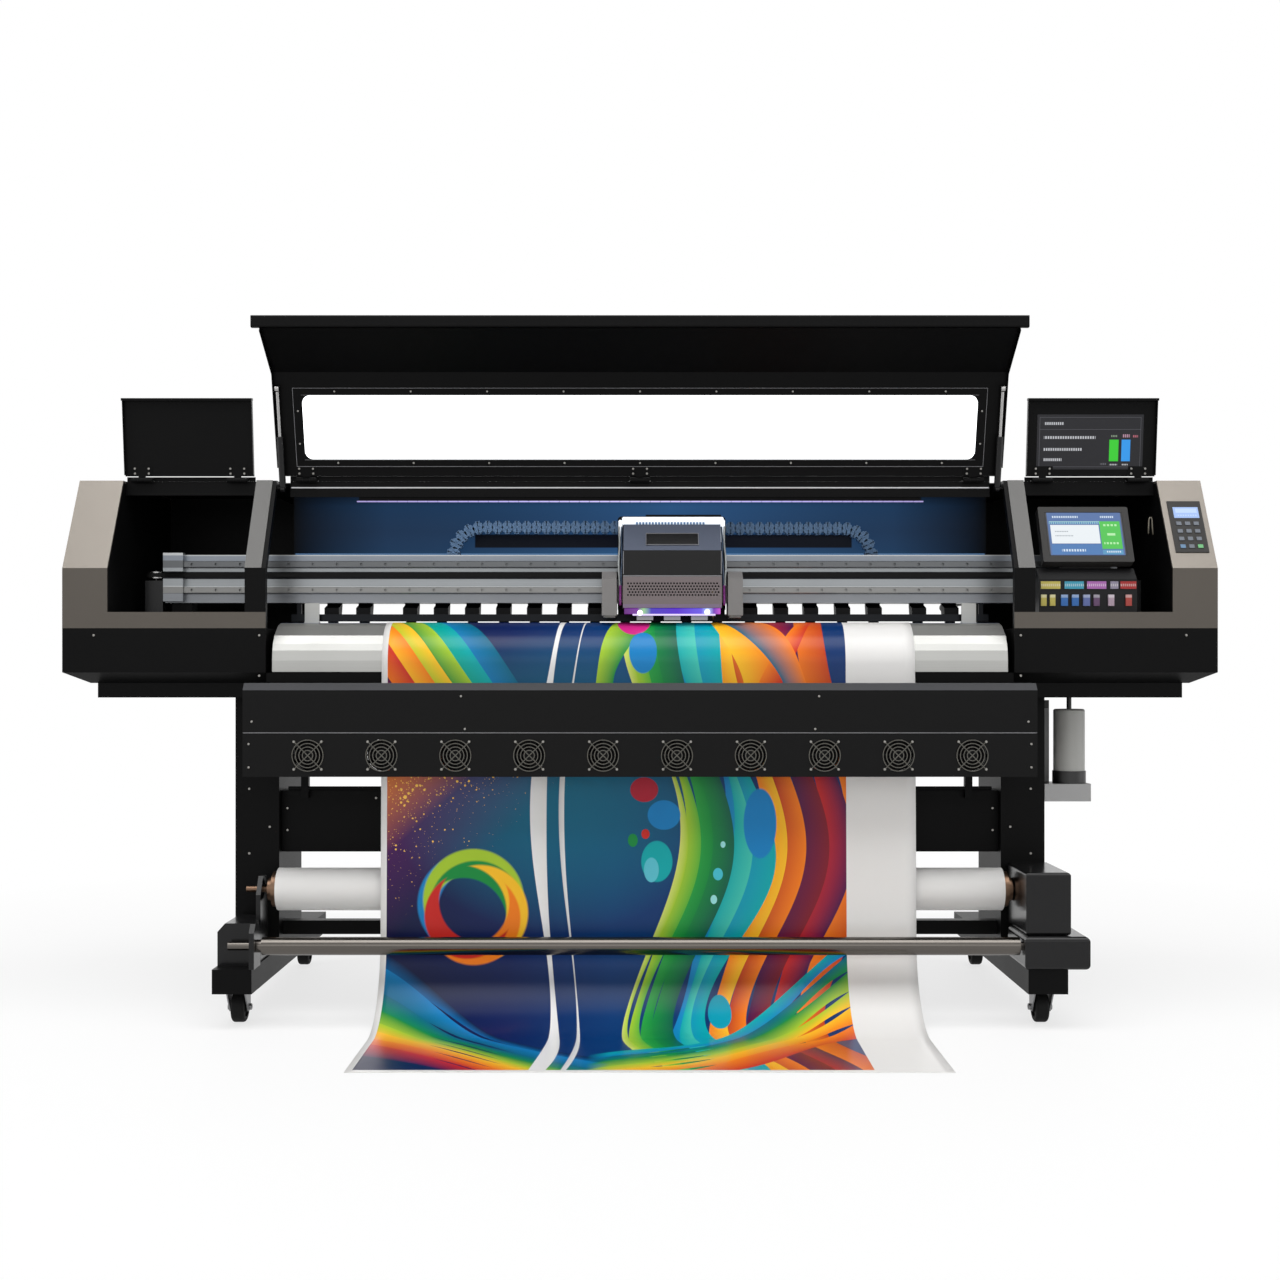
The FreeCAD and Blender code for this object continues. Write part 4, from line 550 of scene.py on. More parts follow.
mat_bottle = zoned("bottle_and_bracket", (0.30, 0.30, 0.285),
                   [({"Z": (0.50, 0.5875)}, (0.008, 0.008, 0.008)),
                    ({"Z": (0.50, 0.5568)}, (0.30, 0.30, 0.30)),
                    ({"Y": (0.0415, 0.05)}, (0.30, 0.30, 0.30)),
                    ({"Z": (0.7395, 0.81)}, (0.008, 0.008, 0.008))],
                   COAT, Roughness=0.38, Grain=400.0, Grain_Height=0.1, Dust=0.0)
# The grey-blue base colour, left above Z 1.1242 on the cover's sloped top, is a painted reflection of the
# light on that slope.
mat_cover = zoned("carriage_cover_paint", (0.060, 0.072, 0.105),
                  [({"Z": (0.90, 1.1242)}, (0.007, 0.007, 0.0072)),
                   ({"Z": (0.90, 1.0607)}, (0.150, 0.125, 0.128)),
                   ({"Z": (0.90, 0.994)}, (0.17, 0.13, 0.19))],
                  COAT, 0.35, 0.3, Roughness=0.42, Grain=1600.0, Grain_Height=0.15, Dust=0.0)
# The paler band on the top chamfer (Z 0.7885 to 0.81) and the pale line at the hood's seam (Z 0.6885 to
# 0.6912) are painted highlights.
mat_dryer = zoned("dryer_powder_coat", BLACK_COAT,
                  [({"Z": (0.7885, 0.81)}, (0.045, 0.046, 0.050)),
                   ({"Z": (0.6885, 0.6912), "Y": (-0.26, -0.25)}, (0.10, 0.10, 0.10))],
                  COAT, 0.0, 0.12, Roughness=0.42, Grain=1400.0, Grain_Height=0.25, Dust=0.006)
mat_fans = zoned("fan_plastic_and_wire", (0.005, 0.005, 0.005),
                 [({"Y": (-0.27, -0.2553)}, (0.095, 0.092, 0.080))],
                 COAT, 0.0, 0.2, Roughness=0.42, Grain=1200.0, Grain_Height=0.1, Dust=0.0)


def anodised_beam():
    """Pale extrusion in level bands: two rails whose bright edges are painted highlights, dull bands of
    painted shade on the face, a bluish top band that is a painted reflection, and a black belt groove between
    the rails.
    """
    made, tree, shader = new_material("anodised_extrusion")
    z, y = axis_value(tree, "Z"), axis_value(tree, "Y")
    silver, bright = (0.26, 0.275, 0.285), (0.42, 0.435, 0.44)
    painted_shade, black = (0.115, 0.12, 0.13), (0.006, 0.007, 0.009)
    foot, top = 1.000, 1.125
    # The bright bands are painted highlights on the rail edges, the dull bands are painted shade on the face,
    # and the bluish band from 1.1055 is a painted reflection.
    bands = [
        (foot, black), (1.0018, (0.20, 0.21, 0.225)), (1.0235, painted_shade), (1.0252, (0.20, 0.20, 0.195)),
        (1.0408, bright), (1.0425, silver), (1.0610, black), (1.0790, silver), (1.0875, painted_shade),
        (1.0892, (0.11, 0.115, 0.12)), (1.1055, (0.20, 0.22, 0.25)), (1.1185, bright),
    ]
    colour = level_ramp(tree, z, foot, top, bands, "CONSTANT")
    rear = maths(tree, "GREATER_THAN", y, 0.092)
    colour = blend_colour(tree, rear, colour, black)
    plug(tree, DRAWN, shader, Color=colour, Streak=0.2, Roughness=0.34)
    shader.inputs["Metallic"].default_value = 0.75
    return made


def console_inks():
    """Black console whose raised caps and label strips are coloured by their place along X."""
    made, tree, shader = new_material("ink_console")
    x, y, z = (axis_value(tree, axis) for axis in "XYZ")
    yellow, blue, grey = (0.42, 0.36, 0.09), (0.035, 0.12, 0.34), (0.22, 0.20, 0.26)
    teal, magenta, red = (0.05, 0.26, 0.36), (0.32, 0.12, 0.34), (0.30, 0.03, 0.03)
    left, right = 0.955, 1.2
    caps = level_ramp(tree, x, left, right, [
        (left, yellow), (1.002, blue), (1.055, (0.10, 0.13, 0.30)), (1.082, (0.11, 0.06, 0.12)),
        (1.115, (0.36, 0.27, 0.33)), (1.15, (0.34, 0.06, 0.05))], "CONSTANT")
    labels = level_ramp(tree, x, left, right, [
        (left, yellow), (1.012, teal), (1.068, magenta), (1.12, grey), (1.15, red)], "CONSTANT")
    upper = maths(tree, "GREATER_THAN", z, 1.023)
    ink = blend_colour(tree, upper, caps, labels)
    raised = maths(tree, "LESS_THAN", y, -0.1183)
    figures = box_mask(tree, {"Z": (1.0355, 1.0425)}, 0.001)
    beat = mask_range(tree, maths(tree, "FRACT", times(tree, x, 210.0)), 0.0, 0.6, 0.1)
    inked = blend_colour(tree, times(tree, times(tree, figures, beat), 0.4), ink, WARM_WHITE)
    shade = blend_colour(tree, mask_range(tree, z, 1.0085, 1.03), inked, (0.20, 0.22, 0.22), "SCREEN")
    lower_shade = blend_colour(tree, upper, shade, inked)
    colour = blend_colour(tree, raised, BLACK_PLASTIC, lower_shade)
    plug(tree, COAT, shader, Color=colour, Roughness=0.4, Grain=1400.0, Grain_Height=0.1, Dust=0.0)
    shader.inputs["Specular IOR Level"].default_value = 0.2
    return made


def acrylic():
    """Clear acrylic: nearly colourless, thin, with a plain gloss."""
    made, tree, shader = new_material("clear_acrylic")
    plug(tree, COAT, shader, Color=(0.96, 0.98, 1.0), Roughness=0.03, Cloud=0.01, Grain_Height=0.0, Dust=0.0)
    shader.inputs["Transmission Weight"].default_value = 1.0
    shader.inputs["IOR"].default_value = 1.02
    return made


mat_beam = anodised_beam()
mat_console = console_inks()
mat_acrylic = acrylic()

FINISH = {
    "platen": mat_platen, "side_covers": mat_champagne, "guide_beam": mat_beam, "drive_belt": mat_belt,
    "drive_motor": mat_gloss_black, "motor_pulley": mat_steel, "idler_pulley": mat_steel,
    "dryer_housing": mat_dryer, "fan_frames": mat_fans, "pinch_arms": mat_black_soft,
    "pinch_rollers": mat_roller, "grit_roller": mat_steel, "takeup_mounts": mat_gloss_black,
    "takeup_spindle": mat_copper, "takeup_roll": mat_paper, "tension_bar": mat_tube, "supply_roll": mat_paper,
    "waste_bottle": mat_bottle, "touch_screen": mat_case, "ink_station": mat_console,
    "keypad": mat_case, "capping_station": mat_black_soft, "carriage_covers": mat_cover,
    "curing_lamps": mat_lamp, "print_heads": mat_zinc, "blade_holder": mat_brass,
    "chain_loops": mat_black_soft,
    "chain_upper": mat_black_soft, "cover_window": mat_acrylic, "strut_cylinders": mat_gloss_black,
    "strut_rods": mat_steel,
}
BY_START = {"fan_rotor": mat_black_soft, "caster_wheel": mat_tyre, "caster_fork": mat_zinc}
for node_name, node in nodes.items():
    finish = FINISH.get(node_name, mat_black)
    for start, other in BY_START.items():
        if node_name.startswith(start):
            finish = other
    node.data.materials.clear()
    node.data.materials.append(finish)


# ---------------------------------------------------------------- camera, lights, floor
def backdrop_seen(tree):
    """One on rays that see the backdrop directly, in a reflection or through glass."""
    path = socket_node(tree, "ShaderNodeLightPath")
    seen = maths(tree, "MAXIMUM", path.outputs["Is Camera Ray"], path.outputs["Is Transmission Ray"])
    return maths(tree, "MAXIMUM", seen, path.outputs["Is Glossy Ray"])


def studio():
    """A level camera in front, a big overhead softbox, gentle fills, a white floor and world."""
    camera = bpy.data.cameras.new("camera")
    camera.sensor_width = 36.0
    camera.lens = 47.28
    camera.shift_y = 0.0203
    camera.clip_end = 60.0
    holder = bpy.data.objects.new("camera", camera)
    holder.location = (0.0, -4.150, 0.845)
    holder.rotation_euler = (math.radians(90), 0, 0)
    bpy.context.scene.collection.objects.link(holder)
    bpy.context.scene.camera = holder

    def softbox(name, place, target, size, power):
        """A rectangular lamp that faces its target."""
        light = bpy.data.lights.new(name, "AREA")
        light.shape = "RECTANGLE"
        light.size, light.size_y = size
        light.energy = power
        lamp = bpy.data.objects.new(name, light)
        lamp.location = place
        away = np.array(place, float) - np.array(target, float)
        flat = math.hypot(away[0], away[1])
        lamp.rotation_euler = (math.atan2(flat, away[2]), 0,
                               math.atan2(away[0], -away[1]) if flat > 1e-6 else 0)
        lamp.visible_camera = False
        bpy.context.scene.collection.objects.link(lamp)

    softbox("overhead", (0.0, -1.6, 4.4), (0.0, 0.0, 1.0), (5.5, 2.6), 165)
    softbox("front_fill", (0.0, -6.0, 2.2), (0.0, 0.0, 0.8), (6.0, 2.0), 34)
    softbox("left_side", (-4.6, -1.2, 1.8), (0.0, 0.0, 0.9), (1.6, 3.2), 26)
    softbox("right_side", (4.6, -1.2, 1.8), (0.0, 0.0, 0.9), (1.6, 3.2), 26)
    softbox("rear_fill", (0.0, 5.0, 2.8), (0.0, 0.0, 0.9), (5.0, 2.0), 50)

    world = bpy.data.worlds.new("studio")
    bpy.context.scene.world = world
    world.use_nodes = True
    tree = world.node_tree
    background = tree.nodes["Background"]
    lit, seen = 0.48, 1.0
    level = times_plus(tree, backdrop_seen(tree), seen - lit, lit)
    tree.links.new(as_grey(tree, level), background.inputs[0])

    extent = 30.0
    mesh = bpy.data.meshes.new("floor")
    mesh.from_pydata([(-extent, -extent, 0), (extent, -extent, 0), (extent, extent, 0), (-extent, extent, 0)],
                     [],
                     [(0, 1, 2, 3)])
    floor = bpy.data.objects.new("floor", mesh)
    bpy.context.scene.collection.objects.link(floor)
    made, tree, shader = new_material("pale_floor")
    shader.inputs["Base Color"].default_value = (0.86, 0.86, 0.86, 1)
    shader.inputs["Roughness"].default_value = 0.7
    white = socket_node(tree, "ShaderNodeEmission")
    mix = socket_node(tree, "ShaderNodeMixShader")
    x, y = axis_value(tree, "X"), axis_value(tree, "Y")
    radius = maths(tree, "SQRT", times_plus(tree, x, x, times(tree, y, y)))
    far = over(tree, minus(tree, radius, 1.7), 1.6, clamp=True)
    whiten = times_plus(tree, far, 0.30, 0.70)
    tree.links.new(times(tree, backdrop_seen(tree), whiten), mix.inputs[0])
    tree.links.new(shader.outputs[0], mix.inputs[1])
    tree.links.new(white.outputs[0], mix.inputs[2])
    tree.links.new(mix.outputs[0], tree.nodes["Material Output"].inputs[0])
    mesh.materials.append(made)
    bpy.context.scene.view_settings.view_transform = "Standard"


studio()

# ---------------------------------------------------------------- printed film
FILM_LEFT = -615.0
FILM_WIDTH = 1270.0
FILM_T = 0.8
PRINT_LEFT = 0.014
PRINT_RIGHT = 1.105
PRINT_FOOT = 0.020
PRINT_HEAD = 1.54


def film_path():
    """(y, z) points down the middle of the film from its end on the floor to the supply roll."""
    def arc(cy, cz, r, a0, a1, count):
        a = np.radians(np.linspace(a0, a1, count))
        return np.stack([cy + r * np.cos(a), cz + r * np.sin(a)], 1)

    top = 950.2 + FILM_T / 2
    parts = [
        np.stack([np.linspace(-662.0, -366.0, 40)[:-1], np.full(39, 1.4)], 1),
        arc(-366.0, 201.4, 200.0, -90, 0, 48),
        np.linspace((-166.0, 201.4), (-147.0, 849.2), 60)[1:-1],
        arc(-46.0, top - 101.2, 101.2, 180, 90, 32),
        np.linspace((-46.0, top), (200.0, top), 24)[1:-1],
        arc(200.0, top - 60.6, 60.6, 90, 45, 12),
        np.linspace((242.9, 932.9), (505.8, 670.1), 24)[1:],
    ]
    return np.concatenate(parts)


def printed_artwork():
    """Inks on white film: a deep blue field crossed by flowing bands, on the film's own UV in metres."""
    made, tree, shader = new_material("printed_film")
    flat = coordinates(tree, "UV")
    u, v, _ = split_axes(tree, flat)

    def band(colour, centre, slope, swing, pitch, phase, width, swell, left, right, only=None, level=False):
        """One flowing band up the film, or across it when level is true."""
        node = socket_node(tree, "ShaderNodeGroup", node_tree=BAND)
        tree.links.new(v if level else u, node.inputs["U"])
        tree.links.new(u if level else v, node.inputs["V"])
        for key, value in zip(("Centre", "Slope", "Swing", "Pitch", "Phase", "Width", "Swell"),
                              (centre, slope, swing, pitch, phase, width, swell)):
            node.inputs[key].default_value = value
        ink = blend_colour(tree, node.outputs["Across"], left, right)
        mask = node.outputs["Mask"] if only is None else times(tree, node.outputs["Mask"], only)
        return blend_colour(tree, mask, colour, ink)

    def spread(du, dv, ru, rv):
        """One at (du, dv), falling to zero on an ellipse of half axes ru and rv, and below zero outside."""
        a = over(tree, minus(tree, u, du), ru)
        b = over(tree, minus(tree, v, dv), rv)
        return minus(tree, 1.0, times_plus(tree, a, a, times(tree, b, b)))

    navy, blue, teal = (0.002, 0.004, 0.036), (0.001, 0.036, 0.150), (0.0, 0.125, 0.215)
    field = ramp(tree, u, [(0.0, navy), (0.30, (0.002, 0.012, 0.085)), (0.55, blue),
                           (0.8, (0.001, 0.028, 0.13))])
    glow = times(tree, maths(tree, "MAXIMUM", spread(0.42, 0.98, 0.42, 0.36), 0.0), 0.95, clamp=True)
    colour = blend_colour(tree, glow, field, teal)
    fall = times_plus(tree, u, 2.3, times(tree, minus(tree, 1.04, v), 2.5))
    below = maths(tree, "LESS_THAN", v, 1.14)
    purple = times(tree, minus(tree, 1.15, fall, clamp=True), below)
    colour = blend_colour(tree, times(tree, purple, 0.9), colour, (0.11, 0.010, 0.13))
    ember = times(tree, minus(tree, 0.62, fall, clamp=True), below)
    colour = blend_colour(tree, times(tree, ember, 1.7, clamp=True), colour, (0.85, 0.24, 0.02))
    for cells, reach in ((105.0, 0.62), (210.0, 0.50)):
        dots = socket_node(tree, "ShaderNodeTexVoronoi")
        dots.inputs["Scale"].default_value = cells
        tree.links.new(flat, dots.inputs["Vector"])
        chance = split_axes(tree, dots.outputs["Color"])
        near = times(tree, minus(tree, 1.25, fall, clamp=True), reach)
        size = times(tree, times(tree, chance["X"], chance["Y"]), near)
        speck = times(tree, maths(tree, "LESS_THAN", dots.outputs["Distance"], size), below)
        colour = blend_colour(tree, speck, colour, (1.0, 0.60, 0.10))

    green, lime = (0.005, 0.24, 0.045), (0.36, 0.55, 0.03)
    orange, red = (0.85, 0.20, 0.01), (0.55, 0.02, 0.015)
    yellow, aqua, sky, plum = (0.90, 0.50, 0.02), (0.0, 0.36, 0.38), (0.005, 0.20, 0.50), (0.06, 0.004, 0.06)
    swing, pitch, phase = 0.070, 6.3, -3.8
    for centre, width, swell, left, right in (
            (1.075, 0.040, 0.2, orange, (0.50, 0.05, 0.01)), (1.010, 0.036, 0.3, red, plum),
            (0.955, 0.034, 0.3, plum, (0.20, 0.01, 0.02)), (0.905, 0.030, 0.3, (0.45, 0.03, 0.01), orange),
            (0.865, 0.026, 0.3, orange, yellow), (0.800, 0.052, 0.45, sky, aqua),
            (0.790, 0.018, 0.5, aqua, (0.05, 0.5, 0.4)), (0.735, 0.030, 0.25, green, (0.002, 0.10, 0.06)),
            (0.700, 0.016, 0.3, (0.02, 0.33, 0.05), green), (0.672, 0.015, 0.4, lime, (0.10, 0.42, 0.04)),
            (0.650, 0.008, 0.4, (0.62, 0.68, 0.16), lime)):
        colour = band(colour, centre, 0.0, swing, pitch, phase, width, swell, left, right)
    low_left = times(tree, minus(tree, 0.62, u), 20.0, clamp=True)
    low_right = times(tree, minus(tree, u, 0.50), 20.0, clamp=True)
    for start, width, left, right in (
            (0.520, 0.020, (0.0, 0.12, 0.34), navy), (0.470, 0.032, teal, sky), (0.415, 0.026, green, teal),
            (0.372, 0.022, lime, green), (0.335, 0.020, yellow, lime), (0.292, 0.028, orange, yellow),
            (0.240, 0.034, red, orange), (0.175, 0.045, plum, red)):
        colour = band(colour, start, -0.72, 0.045, 8.0, 0.9, width, 0.25, left, right, low_left, True)
    for start, width, left, right in (
            (-0.300, 0.022, sky, aqua), (-0.340, 0.022, green, teal), (-0.385, 0.028, lime, green),
            (-0.430, 0.024, yellow, lime), (-0.480, 0.032, orange, yellow), (-0.545, 0.040, red, orange)):
        colour = band(colour, start, 0.78, 0.030, 11.0, 2.4, width, 0.35, left, right, low_right, True)
    for du, dv, radius, su, sv, ink in (
            (0.205, 0.690, 0.120, 0.040, -0.020, sky), (0.220, 0.700, 0.122, 0.010, -0.046, lime),
            (0.226, 0.682, 0.112, -0.030, -0.034, green), (0.236, 0.668, 0.116, -0.044, 0.006, yellow),
            (0.222, 0.655, 0.112, -0.020, 0.038, orange), (0.206, 0.662, 0.104, 0.028, 0.034, red)):
        bitten = radius * 0.94
        disc = times(tree, spread(du, dv, radius, radius), 12.0, clamp=True)
        bite = times(tree, spread(du + su, dv + sv, bitten, bitten), 12.0, clamp=True)
        crescent = times(tree, disc, minus(tree, 1.0, bite))
        colour = blend_colour(tree, crescent, colour, ink)
    head = over(tree, minus(tree, v, 1.17), 0.03, clamp=True)
    for start, width, left, right in (
            (1.335, 0.040, sky, teal), (1.285, 0.030, (0.0, 0.34, 0.22), aqua), (1.240, 0.026, green, lime),
            (1.195, 0.024, lime, yellow), (1.150, 0.028, yellow, orange), (1.100, 0.030, orange, red),
            (1.045, 0.030, red, plum)):
        colour = band(colour, start, -0.85, 0.022, 9.0, 0.4, width, 0.2, left, right, only=head)
    for row in ((0.56, 0.0, 0.030, 14.0, 0.5, 0.030, 0.3, lime, green),
                (0.72, 0.10, 0.050, 10.0, 2.2, 0.040, 0.4, yellow, orange),
                (0.64, 0.25, 0.030, 9.0, 1.0, 0.022, 0.3, orange, red),
                (1.50, -0.45, 0.03, 11.0, 0.6, 0.040, 0.3, teal, orange)):
        colour = band(colour, *row, only=head)
    for du, dv, ru, rv, ink in (
            (0.600, 1.385, 0.040, 0.050, (0.60, 0.02, 0.22)), (0.622, 1.290, 0.034, 0.055, sky),
            (0.625, 0.960, 0.034, 0.030, (0.40, 0.01, 0.03)), (0.672, 0.900, 0.040, 0.036, sky),
            (0.655, 0.790, 0.038, 0.050, aqua), (0.642, 0.770, 0.018, 0.030, (0.10, 0.50, 0.60)),
            (0.598, 0.840, 0.012, 0.016, green), (0.628, 0.855, 0.010, 0.012, red),
            (0.800, 0.760, 0.012, 0.015, (0.06, 0.50, 0.62)), (0.790, 0.700, 0.008, 0.011, (0.3, 0.7, 0.7)),
            (0.812, 0.830, 0.006, 0.008, (0.3, 0.7, 0.7)), (0.900, 0.880, 0.040, 0.085, sky),
            (0.800, 0.420, 0.028, 0.055, (0.0, 0.30, 0.42))):
        drop = times(tree, spread(du, dv, ru, rv), 9.0, clamp=True)
        colour = blend_colour(tree, drop, colour, ink)
    for centre, width, soft_white in ((0.385, 0.013, 0.80), (0.440, 0.0045, 0.62)):
        colour = band(colour, centre, 0.02, 0.030, 4.6, 0.4, width, 0.55, (soft_white,) * 3, WARM_WHITE)
    inked = times(tree, mask_range(tree, u, PRINT_LEFT, PRINT_RIGHT),
                  mask_range(tree, v, PRINT_FOOT, PRINT_HEAD))
    film = blend_colour(tree, inked, WARM_WHITE, colour)
    grain = noise(tree, flat, 14.0, 2.0)
    tree.links.new(film, shader.inputs["Base Color"])
    tree.links.new(times_plus(tree, grain, 0.08, 0.26), shader.inputs["Roughness"])
    tree.links.new(bump_normal(tree, grain, 0.06, 0.003), shader.inputs["Normal"])
    shader.inputs["Specular IOR Level"].default_value = 0.22
    return made


def film_sheet():
    """The film: its path in Y and Z carried across the width as a grid with two skins and closed edges."""
    path = film_path()
    step = np.diff(path, axis=0)
    length = np.concatenate([[0], np.cumsum(np.hypot(*step.T))])
    tangent = np.gradient(path, axis=0)
    tangent /= np.linalg.norm(tangent, axis=1)[:, None]
    normal = np.stack([-tangent[:, 1], tangent[:, 0]], 1)
    across = np.linspace(0, FILM_WIDTH, 49)
    free = np.clip((250.0 - path[:, 1]) / 120.0, 0, 1) * np.clip((path[:, 1] - 3.0) / 40.0, 0, 1)
    ripple = 1.6 * np.sin(across / FILM_WIDTH * 9.0)[None] * free[:, None]
    skins = []
    for offset in (-FILM_T / 2, FILM_T / 2):
        y = path[:, :1] + normal[:, :1] * (offset + ripple)
        z = path[:, 1:] + normal[:, 1:] * (offset + ripple)
        x = np.broadcast_to(FILM_LEFT + across, y.shape)
        skins.append(np.stack([x, y, z], -1))
    rows, columns = skins[0].shape[:2]
    lower, upper = (s.reshape(-1, 3) for s in skins)
    quads = grid_faces(rows, columns)
    count = rows * columns
    faces = [list(f) for f in quads] + [list(f[::-1] + count) for f in quads]
    rim = np.concatenate([np.arange(columns), np.arange(1, rows) * columns + columns - 1,
                          (rows - 1) * columns + np.arange(columns - 2, -1, -1),
                          np.arange(rows - 2, 0, -1) * columns])
    following = np.roll(rim, -1)
    faces += [[b, a, a + count, b + count] for a, b in zip(rim, following)]
    uv = np.stack([np.broadcast_to(across, (rows, columns)),
                   np.broadcast_to(length[:, None], (rows, columns))], -1)
    uv = np.concatenate([uv.reshape(-1, 2)] * 2) * MM
    film = put("printed_film", np.concatenate([lower, upper]) * MM, faces, printed_artwork(), "frame",
               smooth=True, uv=uv, replaces=("print_media",))


film_sheet()


# ---------------------------------------------------------------- cable chains
def stadium(length, height, segments=5):
    """(t, n) outline of a flat link with round ends."""
    a = np.linspace(-np.pi / 2, np.pi / 2, segments)
    right = np.stack([length / 2 - height / 2 + height / 2 * np.cos(a), height / 2 * np.sin(a)], 1)
    return np.concatenate([right, -right])


def chain_links(name, centres, angles, ys, material, body, replaces=()):
    """Links along a run: two side plates with round ends and two cross pieces each.

    centres are (x, z) in millimetres and angles turn each link's length in the XZ plane.
    """
    plate = stadium(29.0, 31.0)
    y0, y1 = ys
    solids = []
    for ya, yb in ((y0, y0 + 3.0), (y1 - 3.0, y1)):
        n = len(plate)
        points = np.concatenate([np.insert(plate, 1, y, axis=1) for y in (ya, yb)])
        faces = [list(range(n)), list(range(2 * n - 1, n - 1, -1))]
        faces += [[i, i + n, (i + 1) % n + n, (i + 1) % n] for i in range(n)]
        solids.append((points, faces))
    for na in (-16.0, 13.0):
        points = np.array([(t, y, k) for t in (-6.0, 6.0) for y in (y0, y1) for k in (na, na + 3.0)])
        faces = [[0, 1, 3, 2], [4, 6, 7, 5], [0, 4, 5, 1], [2, 3, 7, 6], [0, 2, 6, 4], [1, 5, 7, 3]]
        solids.append((points, faces))
    pins = stadium(9.0, 9.0, 4)
    n = len(pins)
    points = np.concatenate([np.insert(pins * k, 1, y, axis=1) for y, k in ((y0, 1.0), (y0 - 1.2, 0.8))])
    faces = [[i, (i + 1) % n, (i + 1) % n + n, i + n] for i in range(n)] + [list(range(n, 2 * n))]
    solids.append((points, faces))
    base = np.concatenate([p for p, _ in solids])
    faces, shift = [], 0
    for points, own in solids:
        faces += [[i + shift for i in f] for f in own]
        shift += len(points)
    cos, sin = np.cos(angles)[:, None], np.sin(angles)[:, None]
    x = centres[:, :1] + base[None, :, 0] * cos - base[None, :, 2] * sin
    z = centres[:, 1:] + base[None, :, 0] * sin + base[None, :, 2] * cos
    y = np.broadcast_to(base[None, :, 1], x.shape)
    return put(name, np.stack([x, y, z], -1) * MM, repeat_solid(base, faces, len(centres)), material, body,
               replaces=replaces)


CHAIN_TOP, CHAIN_BEND = 1196.0, 75.0
mat_chain = coated("chain_plastic", (0.15, 0.27, 0.46), roughness=0.5, grain=800, height=0.1, specular=0.3)


def cable_chains():
    """Both chains: the bends and lower runs ride together on one body; each upper run is laid from its bend
    to the carriage and freed from its body.
    """
    pitch = 24.0
    centre_z = CHAIN_TOP - CHAIN_BEND
    made = []
    for label, bend_x, side, end_x, ys in (("left", -398.0, -1, 196.0, (104.0, 132.0)),
                                           ("right", 516.0, 1, 20.0, (136.0, 164.0))):
        count = int(round(math.pi * CHAIN_BEND / pitch))
        turn = np.pi / 2 - (np.arange(count) + 0.5) * np.pi / count
        arc = np.stack([bend_x + side * CHAIN_BEND * np.cos(turn), centre_z + CHAIN_BEND * np.sin(turn)], 1)
        arc_angle = -side * (np.pi / 2 - turn)
        run = np.arange(15) + 0.5
        low = np.stack([bend_x - side * pitch * run, np.full(15, centre_z - CHAIN_BEND)], 1)
        made.append((np.concatenate([arc, low]), np.concatenate([arc_angle, np.zeros(15)]), ys, label))
        length = abs(end_x - bend_x)
        links = int(length // pitch)
        xs = bend_x - side * (np.arange(links) + 0.5) * length / links
        upper = np.stack([xs, np.full(links, CHAIN_TOP)], 1)
        piece = chain_links(f"{label}_chain_upper", upper, np.zeros(links), ys, mat_chain, "chains",
                            ("chain_upper",))
        blend_upper(piece)
    for centres, angles, ys, label in made:
        chain_links(f"{label}_chain_bend", centres, angles, ys, mat_chain, "chains", ("chain_loops",))


def blend_upper(piece):
    """Frees the run from its body and bakes its place into the mesh."""
    piece.parent = None
    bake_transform(piece)


cable_chains()

# ---------------------------------------------------------------- places taken from the frame
CARRIAGE_X = float(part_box("carriage_covers")[0][0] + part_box("carriage_covers")[1][0]) / 2 / MM
COVER_LEAN, LID_LEAN = math.radians(17.6), math.radians(6.6)
COVER_HINGES, LID_HINGES = (-820.0, 0.0, 820.0), (990.0, 1225.0)
SLOPE_RUN = math.hypot(126.0, 222.0)
SLOPE_UP = np.array((0.0, 126.0, 222.0)) / SLOPE_RUN
SLOPE_AXES = ((0.0, -150.0, 1078.0), (1, 0, 0), SLOPE_UP, np.array((0.0, -SLOPE_UP[2], SLOPE_UP[1])))
SIDES = (-1, 1)


def leaf_axes(lean):
    """Axes of an opened leaf that leans back from upright: s runs up it from the hinge line."""
    return ((0.0, -16.0, 1302.0), (1, 0, 0), (0, -math.sin(lean), math.cos(lean)),
            (0, -math.cos(lean), -math.sin(lean)))


def mirrored(rows):
    """Each (x, ...) row and its twin on the other side."""
    return [(side * row[0], *row[1:]) for row in rows for side in SIDES]


